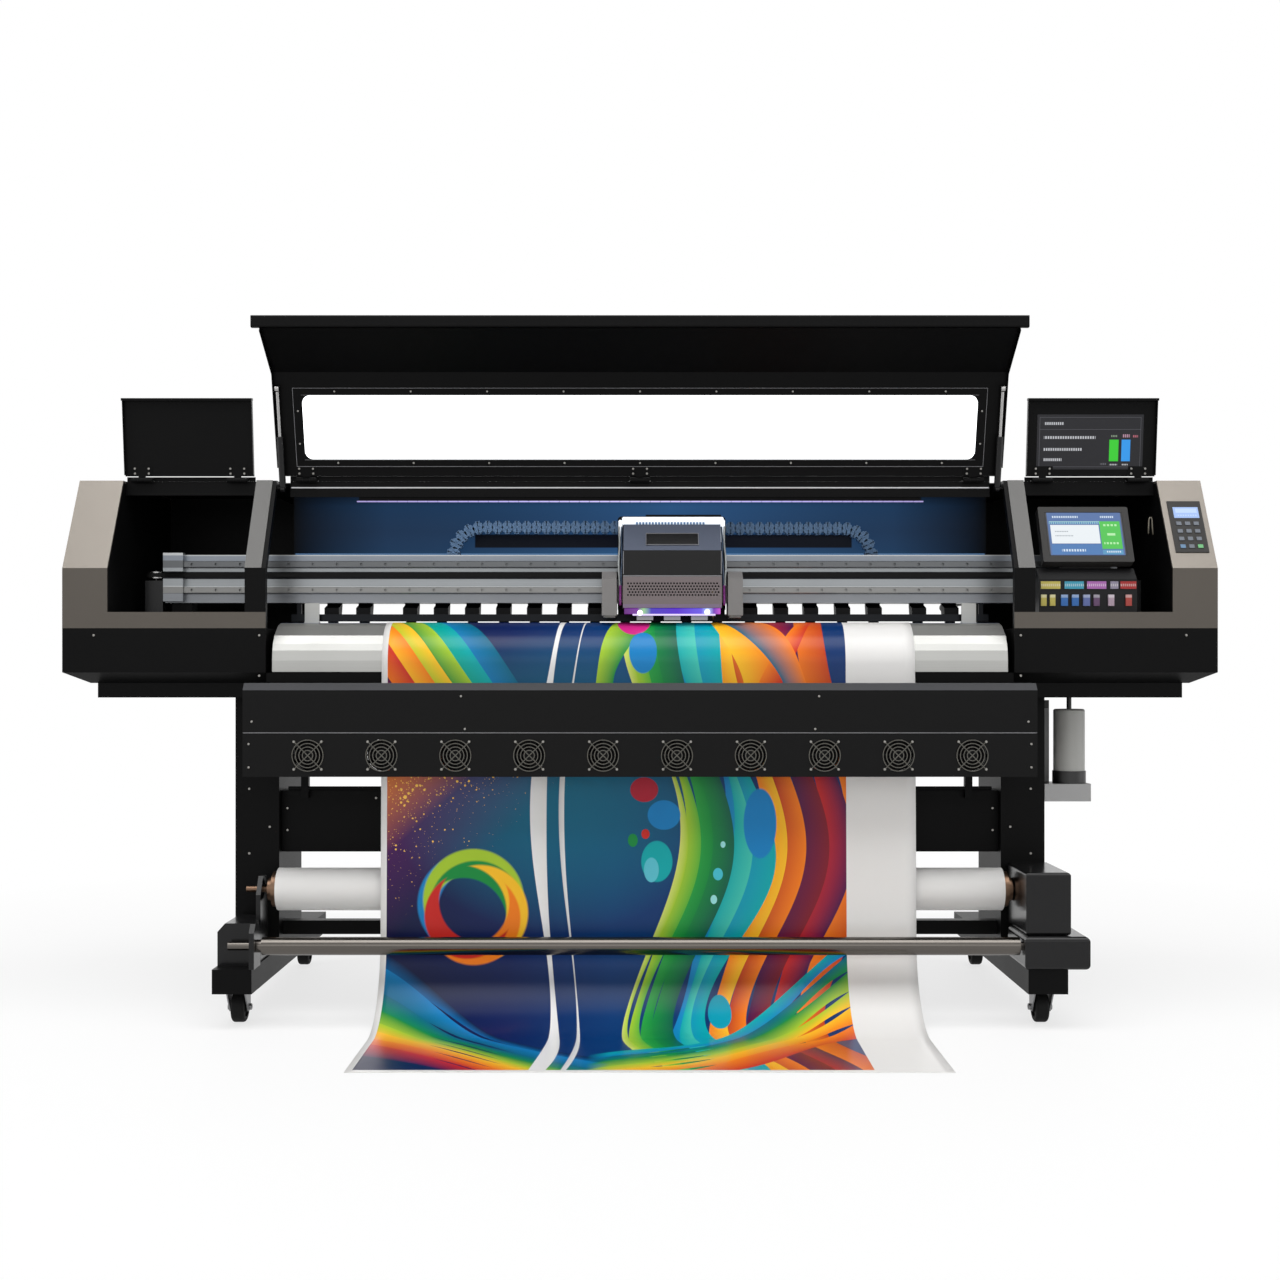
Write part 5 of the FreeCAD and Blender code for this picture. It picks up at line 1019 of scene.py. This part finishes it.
# ---------------------------------------------------------------- the lit bay
def bay_back():
    """Thin liner on the back wall of the bay, its glow painted light from the LED strip: deep blue, brightest
    behind the carriage, dimmer at the ends, above and below a dark band that is the painted shadow of the
    cable chains.
    """
    made, tree, shader = new_material("lit_liner")
    x, z = axis_value(tree, "X"), axis_value(tree, "Z")
    # Painted light: the liner glows brightest behind the carriage, a painted pool of light, and fades towards
    # its ends as painted shade.
    off = minus(tree, x, CARRIAGE_X * MM)
    near = minus(tree, 1.0, times(tree, maths(tree, "ABSOLUTE", off), 1.25), clamp=True)
    ends = times(tree, minus(tree, 0.888, maths(tree, "ABSOLUTE", x)), 4.2, clamp=True)
    level = times(tree, times_plus(tree, times(tree, near, near), 0.95, 0.62), ends)
    foot, top = 1.02, 1.29
    blue = level_ramp(tree, z, foot, top, [
        (foot, (0.002, 0.004, 0.010)), (1.112, (0.004, 0.016, 0.040)), (1.128, (0.020, 0.070, 0.150)),
        (1.143, (0.016, 0.055, 0.135)), (1.190, (0.014, 0.046, 0.115)), (1.255, (0.016, 0.055, 0.135)),
        (top, (0.004, 0.010, 0.022))])
    # The dark band is a painted shadow of the cable chains, fixed on the liner.
    chain_shadow = box_mask(tree, {"X": (-0.425, 0.545), "Z": (1.147, 1.184)}, 0.003)
    blue = blend_colour(tree, chain_shadow, blue, (0.0015, 0.002, 0.005))
    glow = blend_colour(tree, 1.0, blue, as_grey(tree, level), "MULTIPLY")
    plug(tree, COAT, shader, Color=(0.004, 0.006, 0.010), Roughness=0.5, Dust=0.0)
    emit(tree, shader, glow)
    shader.inputs["Specular IOR Level"].default_value = 0.1
    blocks("bay_liner", (-888, 164.6, 1020), (888, 169.6, 1290), made, "frame")
    # The conduits glow as painted light from the LED strip; they are no lamps.
    conduits = (1124.0, 1131.0)
    blocks("bay_conduits", [(-884, 160.5, z) for z in conduits], [(884, 164.0, z + 2.0) for z in conduits],
           glowing("lit_conduit", (0.10, 0.22, 0.42), 1.0), "frame", 0.6)


def hinge_edge(hinges, left, right):
    """Runs (x0, x1, lowest z) of an upstand that stands on a top edge and clears the leaves of its hinges."""
    half_leaf, edge_z, leaf_z = 25.5, 1300.2, 1302.3
    runs, start = [], left
    for x in hinges:
        runs += [(start, max(x - half_leaf, start + 0.1), edge_z),
                 (max(x - half_leaf, left), min(x + half_leaf, right), leaf_z)]
        start = x + half_leaf
    return runs + [(start, right, edge_z)]


def led_strip():
    """Row of small lit blocks under the top rail, and the upstands along the rail and the lids' edges."""
    made, tree, shader = new_material("led_strip")
    reach = times(tree, maths(tree, "ABSOLUTE", axis_value(tree, "X")), 1.35, clamp=True)
    colour = ramp(tree, reach, [(0.0, (0.62, 0.55, 0.95)), (0.45, (0.42, 0.38, 0.80)),
                                (0.9, (0.30, 0.24, 0.55))])
    plug(tree, COAT, shader, Color=(0.1, 0.1, 0.12), Roughness=0.3, Dust=0.0)
    emit(tree, shader, colour)
    starts = np.linspace(-700, 676.5, 56)
    blocks("led_strip", [(x, 6.0, 1250.2) for x in starts], [(x + 24.2, 11.0, 1253.4) for x in starts], made,
           "frame", 0.6)
    blocks("hinge_rail_edge", (-861, -1.4, 1283.2), (861, -0.2, 1286.6), mat_edge, "frame", 0.4)
    rail = hinge_edge(COVER_HINGES, -863.0, 863.0)
    lids = hinge_edge(LID_HINGES, 949.0, 1266.0)
    lids += [(-b, -a, z) for a, b, z in lids]
    for name, runs, top in (("rail_upstand", rail, 1313.5), ("lid_upstands", lids, 1311.0)):
        blocks(name, [(a, 0.3, z) for a, _, z in runs], [(b, 2.0, top) for _, b, _ in runs],
               mat_black, "frame", 0.3)


# ---------------------------------------------------------------- carriage dressing
def carriage_dressing():
    """Bright top frame whose glow is a painted highlight, bare plate on the sloped cover, glow bars below,
    ink tubes at the sides.
    """
    x = CARRIAGE_X
    # The top frame is pale metal made to glow: a painted highlight, not a lamp.
    rim = glowing("lit_frame", (0.86, 0.93, 1.0), 0.85, (0.5, 0.5, 0.52))
    blocks("carriage_painted_glow_frame",
           [(x - 122, -7, 1193), (x - 131, -7, 1163), (x + 120.5, -7, 1150)],
           [(x + 128, -0.3, 1212.5), (x - 121.5, -0.3, 1205), (x + 131.5, -0.3, 1206)], rim, "carriage", 3.0)
    starts = x - 88 + np.arange(22) * 7.8
    blocks("ribbon_sockets", [(a, -9.5, 1192.5) for a in starts], [(a + 5.2, -6.0, 1199.5) for a in starts],
           mat_chain, "carriage", 0.6)
    lean = math.hypot(48, 66)
    up = np.array((0.0, 48.0, 66.0)) / lean
    axes = ((x, -100.0, 1124.0), (1, 0, 0), up, np.array((0.0, -up[2], up[1])))
    blocks("carriage_name_plate", (-62, 18, 0), (62, 50, 2.4), mat_gloss_black, "carriage", 1.0, axes)
    blocks("carriage_plate_edge",
           [(-64, 15.4, 0), (-64, 50.6, 0), (-64, 16, 0), (62.6, 16, 0)],
           [(64, 17.0, 2.8), (64, 52.2, 2.8), (-62.8, 52, 2.8), (64, 52, 2.8)], mat_line, "carriage", 0.5,
           axes)
    blocks("carriage_cover_trim", [(x - 119.2, -101.4, 1060.6), (x - 119, -100.6, 1066),
                                   (x + 117, -100.6, 1066)],
           [(x + 119.2, -99.0, 1063.4), (x - 117, -99.4, 1122), (x + 119, -99.4, 1122)], mat_line, "carriage",
           0.4)
    glow_bars(x)
    ink_tubes(x)


def glow_bars(x):
    """Violet curing light under the carriage, with a pale edge and a hot spot near each end."""
    made, tree, shader = new_material("curing_glow")
    along = over(tree, minus(tree, axis_value(tree, "X"), (x - 116) * MM), 0.232, clamp=True)
    colour = ramp(tree, along, [(0.0, (0.10, 0.0, 0.16)), (0.14, (0.16, 0.02, 0.30)),
                                (0.20, (0.30, 0.60, 0.25)),
                                (0.28, (0.04, 0.02, 0.45)), (0.55, (0.06, 0.0, 0.55)),
                                (0.80, (0.12, 0.08, 0.75)),
                                (0.87, (0.45, 0.60, 1.0)), (0.93, (0.14, 0.02, 0.45)),
                                (1.0, (0.55, 0.08, 0.60))])
    plug(tree, COAT, shader, Color=(0.01, 0.0, 0.02), Roughness=0.3, Dust=0.0)
    emit(tree, shader, colour)
    blocks("curing_glow", (x - 116, -101.5, 970), (x + 116, -95, 984.3), made, "carriage", 1.0)
    line = glowing("glow_edge", (0.75, 0.62, 1.0), 1.1)
    blocks("glow_edge", (x - 96, -102.5, 966.5), (x + 104, -96, 970.5), line, "carriage", 1.0)
    spark = glowing("hot_spot", (0.80, 0.92, 1.0), 2.2)
    profile = [(0.0, 0.4), (0.4, 4.2), (1.6, 6.4), (3.0, 6.8), (4.0, 6.0)]
    turned("hot_spots", [(x + 84, -104.6, 975), (x - 78, -104.6, 973)], (0, 1, 0), profile, spark, "carriage",
           16,
           smooth=True)


def ink_tubes(x):
    """Thin tubes in the gaps beside the covers, from the top frame down to the heads, as shallow waves."""
    blue = coated("blue_ink_tube", (0.03, 0.055, 0.10), roughness=0.3, grain=300, height=0.02, dust=0.0)
    pale = coated("pale_ink_tube", (0.34, 0.36, 0.36), roughness=0.3, grain=300, height=0.02, dust=0.0)
    violet = coated("lit_ink_tube", (0.20, 0.02, 0.20), roughness=0.3, grain=300, height=0.02, dust=0.0)
    t = np.linspace(0.0, 1.0, 40)
    for side, label in ((-1, "left"), (1, "right")):
        for offset, phase, material, shade in ((122.4, 0.0, blue, "blue"), (128.6, 2.1, pale, "pale")):
            z = 1188.0 - 150.0 * t
            y = -14.0 - 72.0 * np.sin(np.clip(t * 1.5, 0, 1) * np.pi / 2) ** 2
            path = np.stack([x + side * (offset + 0.9 * np.sin(9 * t + phase)),
                             y + 2.0 * np.cos(12 * t + phase), z], 1)
            tube(f"{shade}_tube_{label}", path, 2.3, material, "carriage", 8)
        z = np.linspace(1040.0, 992.0, 12)
        foot = np.stack([x + side * (125.5 + 0 * z), -89.0 + 3.0 * np.sin(z / 9.0), z], 1)
        tube(f"lit_tube_{label}", foot, 3.0, violet, "carriage", 8)


# ---------------------------------------------------------------- displays
def touch_picture():
    """Generic control picture on the touch screen: header, list, buttons and footer, without words."""
    lean = math.radians(25.0)
    axes = ((1081.0, -105.0, 1096.0), (1, 0, 0), (0, math.sin(lean), math.cos(lean)),
            (0, -math.cos(lean), math.sin(lean)))
    navy, blue, green = (0.035, 0.115, 0.33), (0.02, 0.15, 0.42), (0.03, 0.52, 0.03)
    white, grey, pale = (0.80, 0.85, 0.88), (0.20, 0.24, 0.28), (0.62, 0.74, 0.86)
    zones = [
        (-90, 90, 17, 137, navy, 0), (-86, 40, 104, 112, (0.30, 0.60, 0.62), 0),
        (-86, 40, 104, 110, blue, 5.3),
        (-84, 34, 50, 102, white, 0), (-74, -42, 82, 85, grey, 4.1), (-74, -30, 70, 73, grey, 3.7),
        (36, 86, 35, 112, green, 0), (44, 78, 98, 104, (0.45, 0.85, 0.40), 9),
        (52, 72, 72, 79, (0.45, 0.85, 0.40), 0),
        (42, 80, 48, 54, (0.45, 0.85, 0.40), 8), (-86, 36, 20, 48, blue, 0), (-62, -4, 28, 35, pale, 6.5),
        (-78, -14, 121, 127, pale, 5.5), (40, 74, 121, 127, pale, 4.9),
        (36, 86, 20, 33, (0.05, 0.28, 0.50), 0),
        (44, 82, 25, 30, pale, 5.1),
    ]
    made = lit_picture("touch_picture", (0.004, 0.006, 0.012), zones, 0.95)
    blocks("touch_picture", (-93, 18, -0.78), (93, 136, -0.3), made, "frame", 0.2, axes,
           flat=True)


def lid_picture():
    """Generic read-out inside the right lid: an outline, rows of dashes and two level bars."""
    grey, pale, green, blue = (0.10, 0.10, 0.115), (0.50, 0.51, 0.54), (0.03, 0.58, 0.02), (0.02, 0.30, 0.80)
    x0, x1, s0, s1, head = 980.0, 1229.0, 32.0, 153.5, 123.0
    zones = [(x0, x1, s0, s0 + 1.2, grey, 0), (x0, x1, s1 - 1.2, s1, grey, 0),
             (x0, x0 + 1.2, s0, s1, grey, 0),
             (x1 - 1.2, x1, s0, s1, grey, 0), (x0, x1, head, head + 1.2, grey, 0)]
    zones += [(991, end, s - 3.6, s + 3.6, pale, pitch) for s, end, pitch in
              ((138, 1040, 5.2), (104, 1118, 6.1), (75, 1086, 5.6), (50, 1036, 4.7))]
    zones += [(1152, 1175, 46, 99, green, 0), (1182, 1204, 46, 99, blue, 0),
              (1156, 1172, 105, 110, (0.22, 0.30, 0.20), 4.0),
              (1183, 1202, 104, 112, (0.45, 0.25, 0.34), 5.0),
              (1208, 1222, 104, 110, (0.45, 0.12, 0.16), 5.0),
              (1153, 1173, 36, 40, pale, 4.2), (1183, 1199, 36, 40, pale, 4.2),
              (1131, 1147, 37, 42, grey, 4.2)]
    made = lit_picture("lid_picture", (0.0042, 0.0042, 0.0055), zones, 1.0)
    blocks("lid_picture", (974, 26, -4), (1235, 160, -3.3), made, "right_lid", 0.2, leaf_axes(LID_LEAN),
           flat=True)


def keypad_faces():
    """Small pale display and twelve coloured key caps on the keypad."""
    pale = (0.50, 0.66, 0.92)
    made = lit_picture("keypad_display", (0.34, 0.50, 0.88),
                       [(1298, 1350, 157, 170, pale, 0), (1299, 1348, 148, 152, pale, 6.0)])
    blocks("keypad_display", (1293, 142.5, 2.5), (1354, 174, 3.2), made, "frame", 0.3, SLOPE_AXES,
           flat=True)
    keys = [(1294 + 21 * column, 54 + 22 * row) for row in range(4) for column in range(3)]
    shades = {"grey": ((0.085, 0.10, 0.125), keys[3:] + keys[1:2]), "blue": ((0.07, 0.16, 0.28), keys[:1]),
              "green": ((0.09, 0.34, 0.12), keys[2:3])}
    for shade, (colour, places) in shades.items():
        cap = coated(f"{shade}_key_cap", colour, roughness=0.4, dust=0.0)
        blocks(f"{shade}_keys", [(x + 0.8, s + 0.8, 3.4) for x, s in places],
               [(x + 13.2, s + 11.2, 4.2) for x, s in places], cap, "frame", 0.5, SLOPE_AXES)


# ---------------------------------------------------------------- covers and cabinets
def on_leaf(axes, places, n):
    """Points (x, s) of a leaf at height n over its face, and the way that face looks."""
    origin, _, along, out = (np.array(a, float) for a in axes)
    return [origin + (x, 0, 0) + s * along + n * out for x, s in places], out


def cover_details():
    """Pale lines round the window trim, screws beside it, and the bolts of every hinge."""
    axes = leaf_axes(COVER_LEAN)
    blocks("window_trim_lines",
           [(-842, 33.0, -1.5), (-842, 224.8, -1.5), (-842, 34, -1.5), (840.8, 34, -1.5),
            (-821.5, 49.6, -1.5), (-821.5, 208.2, -1.5)],
           [(842, 34.2, -1.1), (842, 226.0, -1.1), (-840.8, 225, -1.1), (842, 225, -1.1),
            (821.5, 50.6, -1.1), (821.5, 209.2, -1.1)], mat_line, "cover", 0.2, axes)
    rows = [(x, s) for s in (42.5, 217.5) for x in np.linspace(-740, 740, 9)]
    rows += mirrored([(831, 90), (831, 170)])
    screws("window_screws", *on_leaf(axes, rows, -1.5), 2.6, mat_screw, "cover")
    bolts = [(x + dx, s) for x in COVER_HINGES for dx in (-17, 17) for s in (16, 28)]
    screws("cover_hinge_bolts", *on_leaf(axes, bolts, -2.5), 2.8, mat_screw, "cover")
    for side, body in ((-1, "left_lid"), (1, "right_lid")):
        bolts = [(side * (x + dx), s) for x in LID_HINGES for dx in (-17, 17) for s in (16, 28)]
        screws(f"{body}_hinge_bolts", *on_leaf(leaf_axes(LID_LEAN), bolts, -2.5), 2.8, mat_screw, body)


def cabinet_details():
    """Screws at the corners of tubs, legs, stretcher and dryer, a thin strip of painted highlight along the
    dryer's seam, and the clip by the screen.
    """
    front = (0, -1, 0)
    screws("cabinet_screws", mirrored([(906, -150, 918), (906, -150, 822), (1300, -150, 918)]), front, 3.0,
           mat_screw, "frame")
    screws("leg_screws", mirrored([(955, -40, 545), (955, -40, 387), (905, -40, 452), (899, -40, 700)]),
           front, 3.2,
           mat_screw, "frame")
    screws("stretcher_screws", mirrored([(868, -10, 441), (868, -10, 495), (650, -10, 520)]), front, 3.0,
           mat_screw, "frame")
    screws("dryer_screws", mirrored([(907, -255, 664), (907, -255, 610), (900, -255, 716), (415, -255, 775),
                                     (406, -255, 699)]),
           front, 2.8, mat_screw, "frame")
    # A thin pale strip along the seam between the dryer's hood and fan panel: a painted highlight on that
    # edge.
    blocks("dryer_seam_highlight", (-919, -255.5, 689.2), (919, -254.9, 690.8), mat_line, "frame", 0.2)
    clip = coated("clip_beige", (0.15, 0.135, 0.105), roughness=0.45, grain=500, height=0.1, dust=0.0)
    bend = np.linspace(0, np.pi, 14)
    arch = [(1248 - 4 * math.cos(a), -40.0, 1199 + 9 * math.sin(a)) for a in bend]
    tube("wall_clip", [(1243, -40, 1168), (1243.5, -40, 1184), *arch, (1252.5, -40, 1184),
                       (1254.5, -40, 1166)], 1.8,
         clip, "frame", 8)


def fan_details():
    """Dark filter disc of shallow rings behind each fan, and its four bright corner screws."""
    count, first, last, middle_z, corner = 10, -770.0, 770.0, 637.5, 32
    xs = [first + i * (last - first) / (count - 1) for i in range(count)]
    profile = [(0.0, 37.0), (0.5, 37.2)] + [(0.5 + 0.5 * (i % 2), 34.0 - 3.4 * i)
                                            for i in range(10)] + [(0.6, 0.3)]
    turned("fan_filters", [(x, -226.8, middle_z) for x in xs], (0, 1, 0), profile, mat_black_soft, "frame",
           28)
    corners = [(x + dx, -257.0, middle_z + dz) for x in xs for dx in (-corner, corner)
               for dz in (-corner, corner)]
    screws("fan_screws", corners, (0, -1, 0), 3.0, mat_screw, "frame", 8)


bay_back()
led_strip()
carriage_dressing()
touch_picture()
lid_picture()
keypad_faces()
cover_details()
cabinet_details()
fan_details()
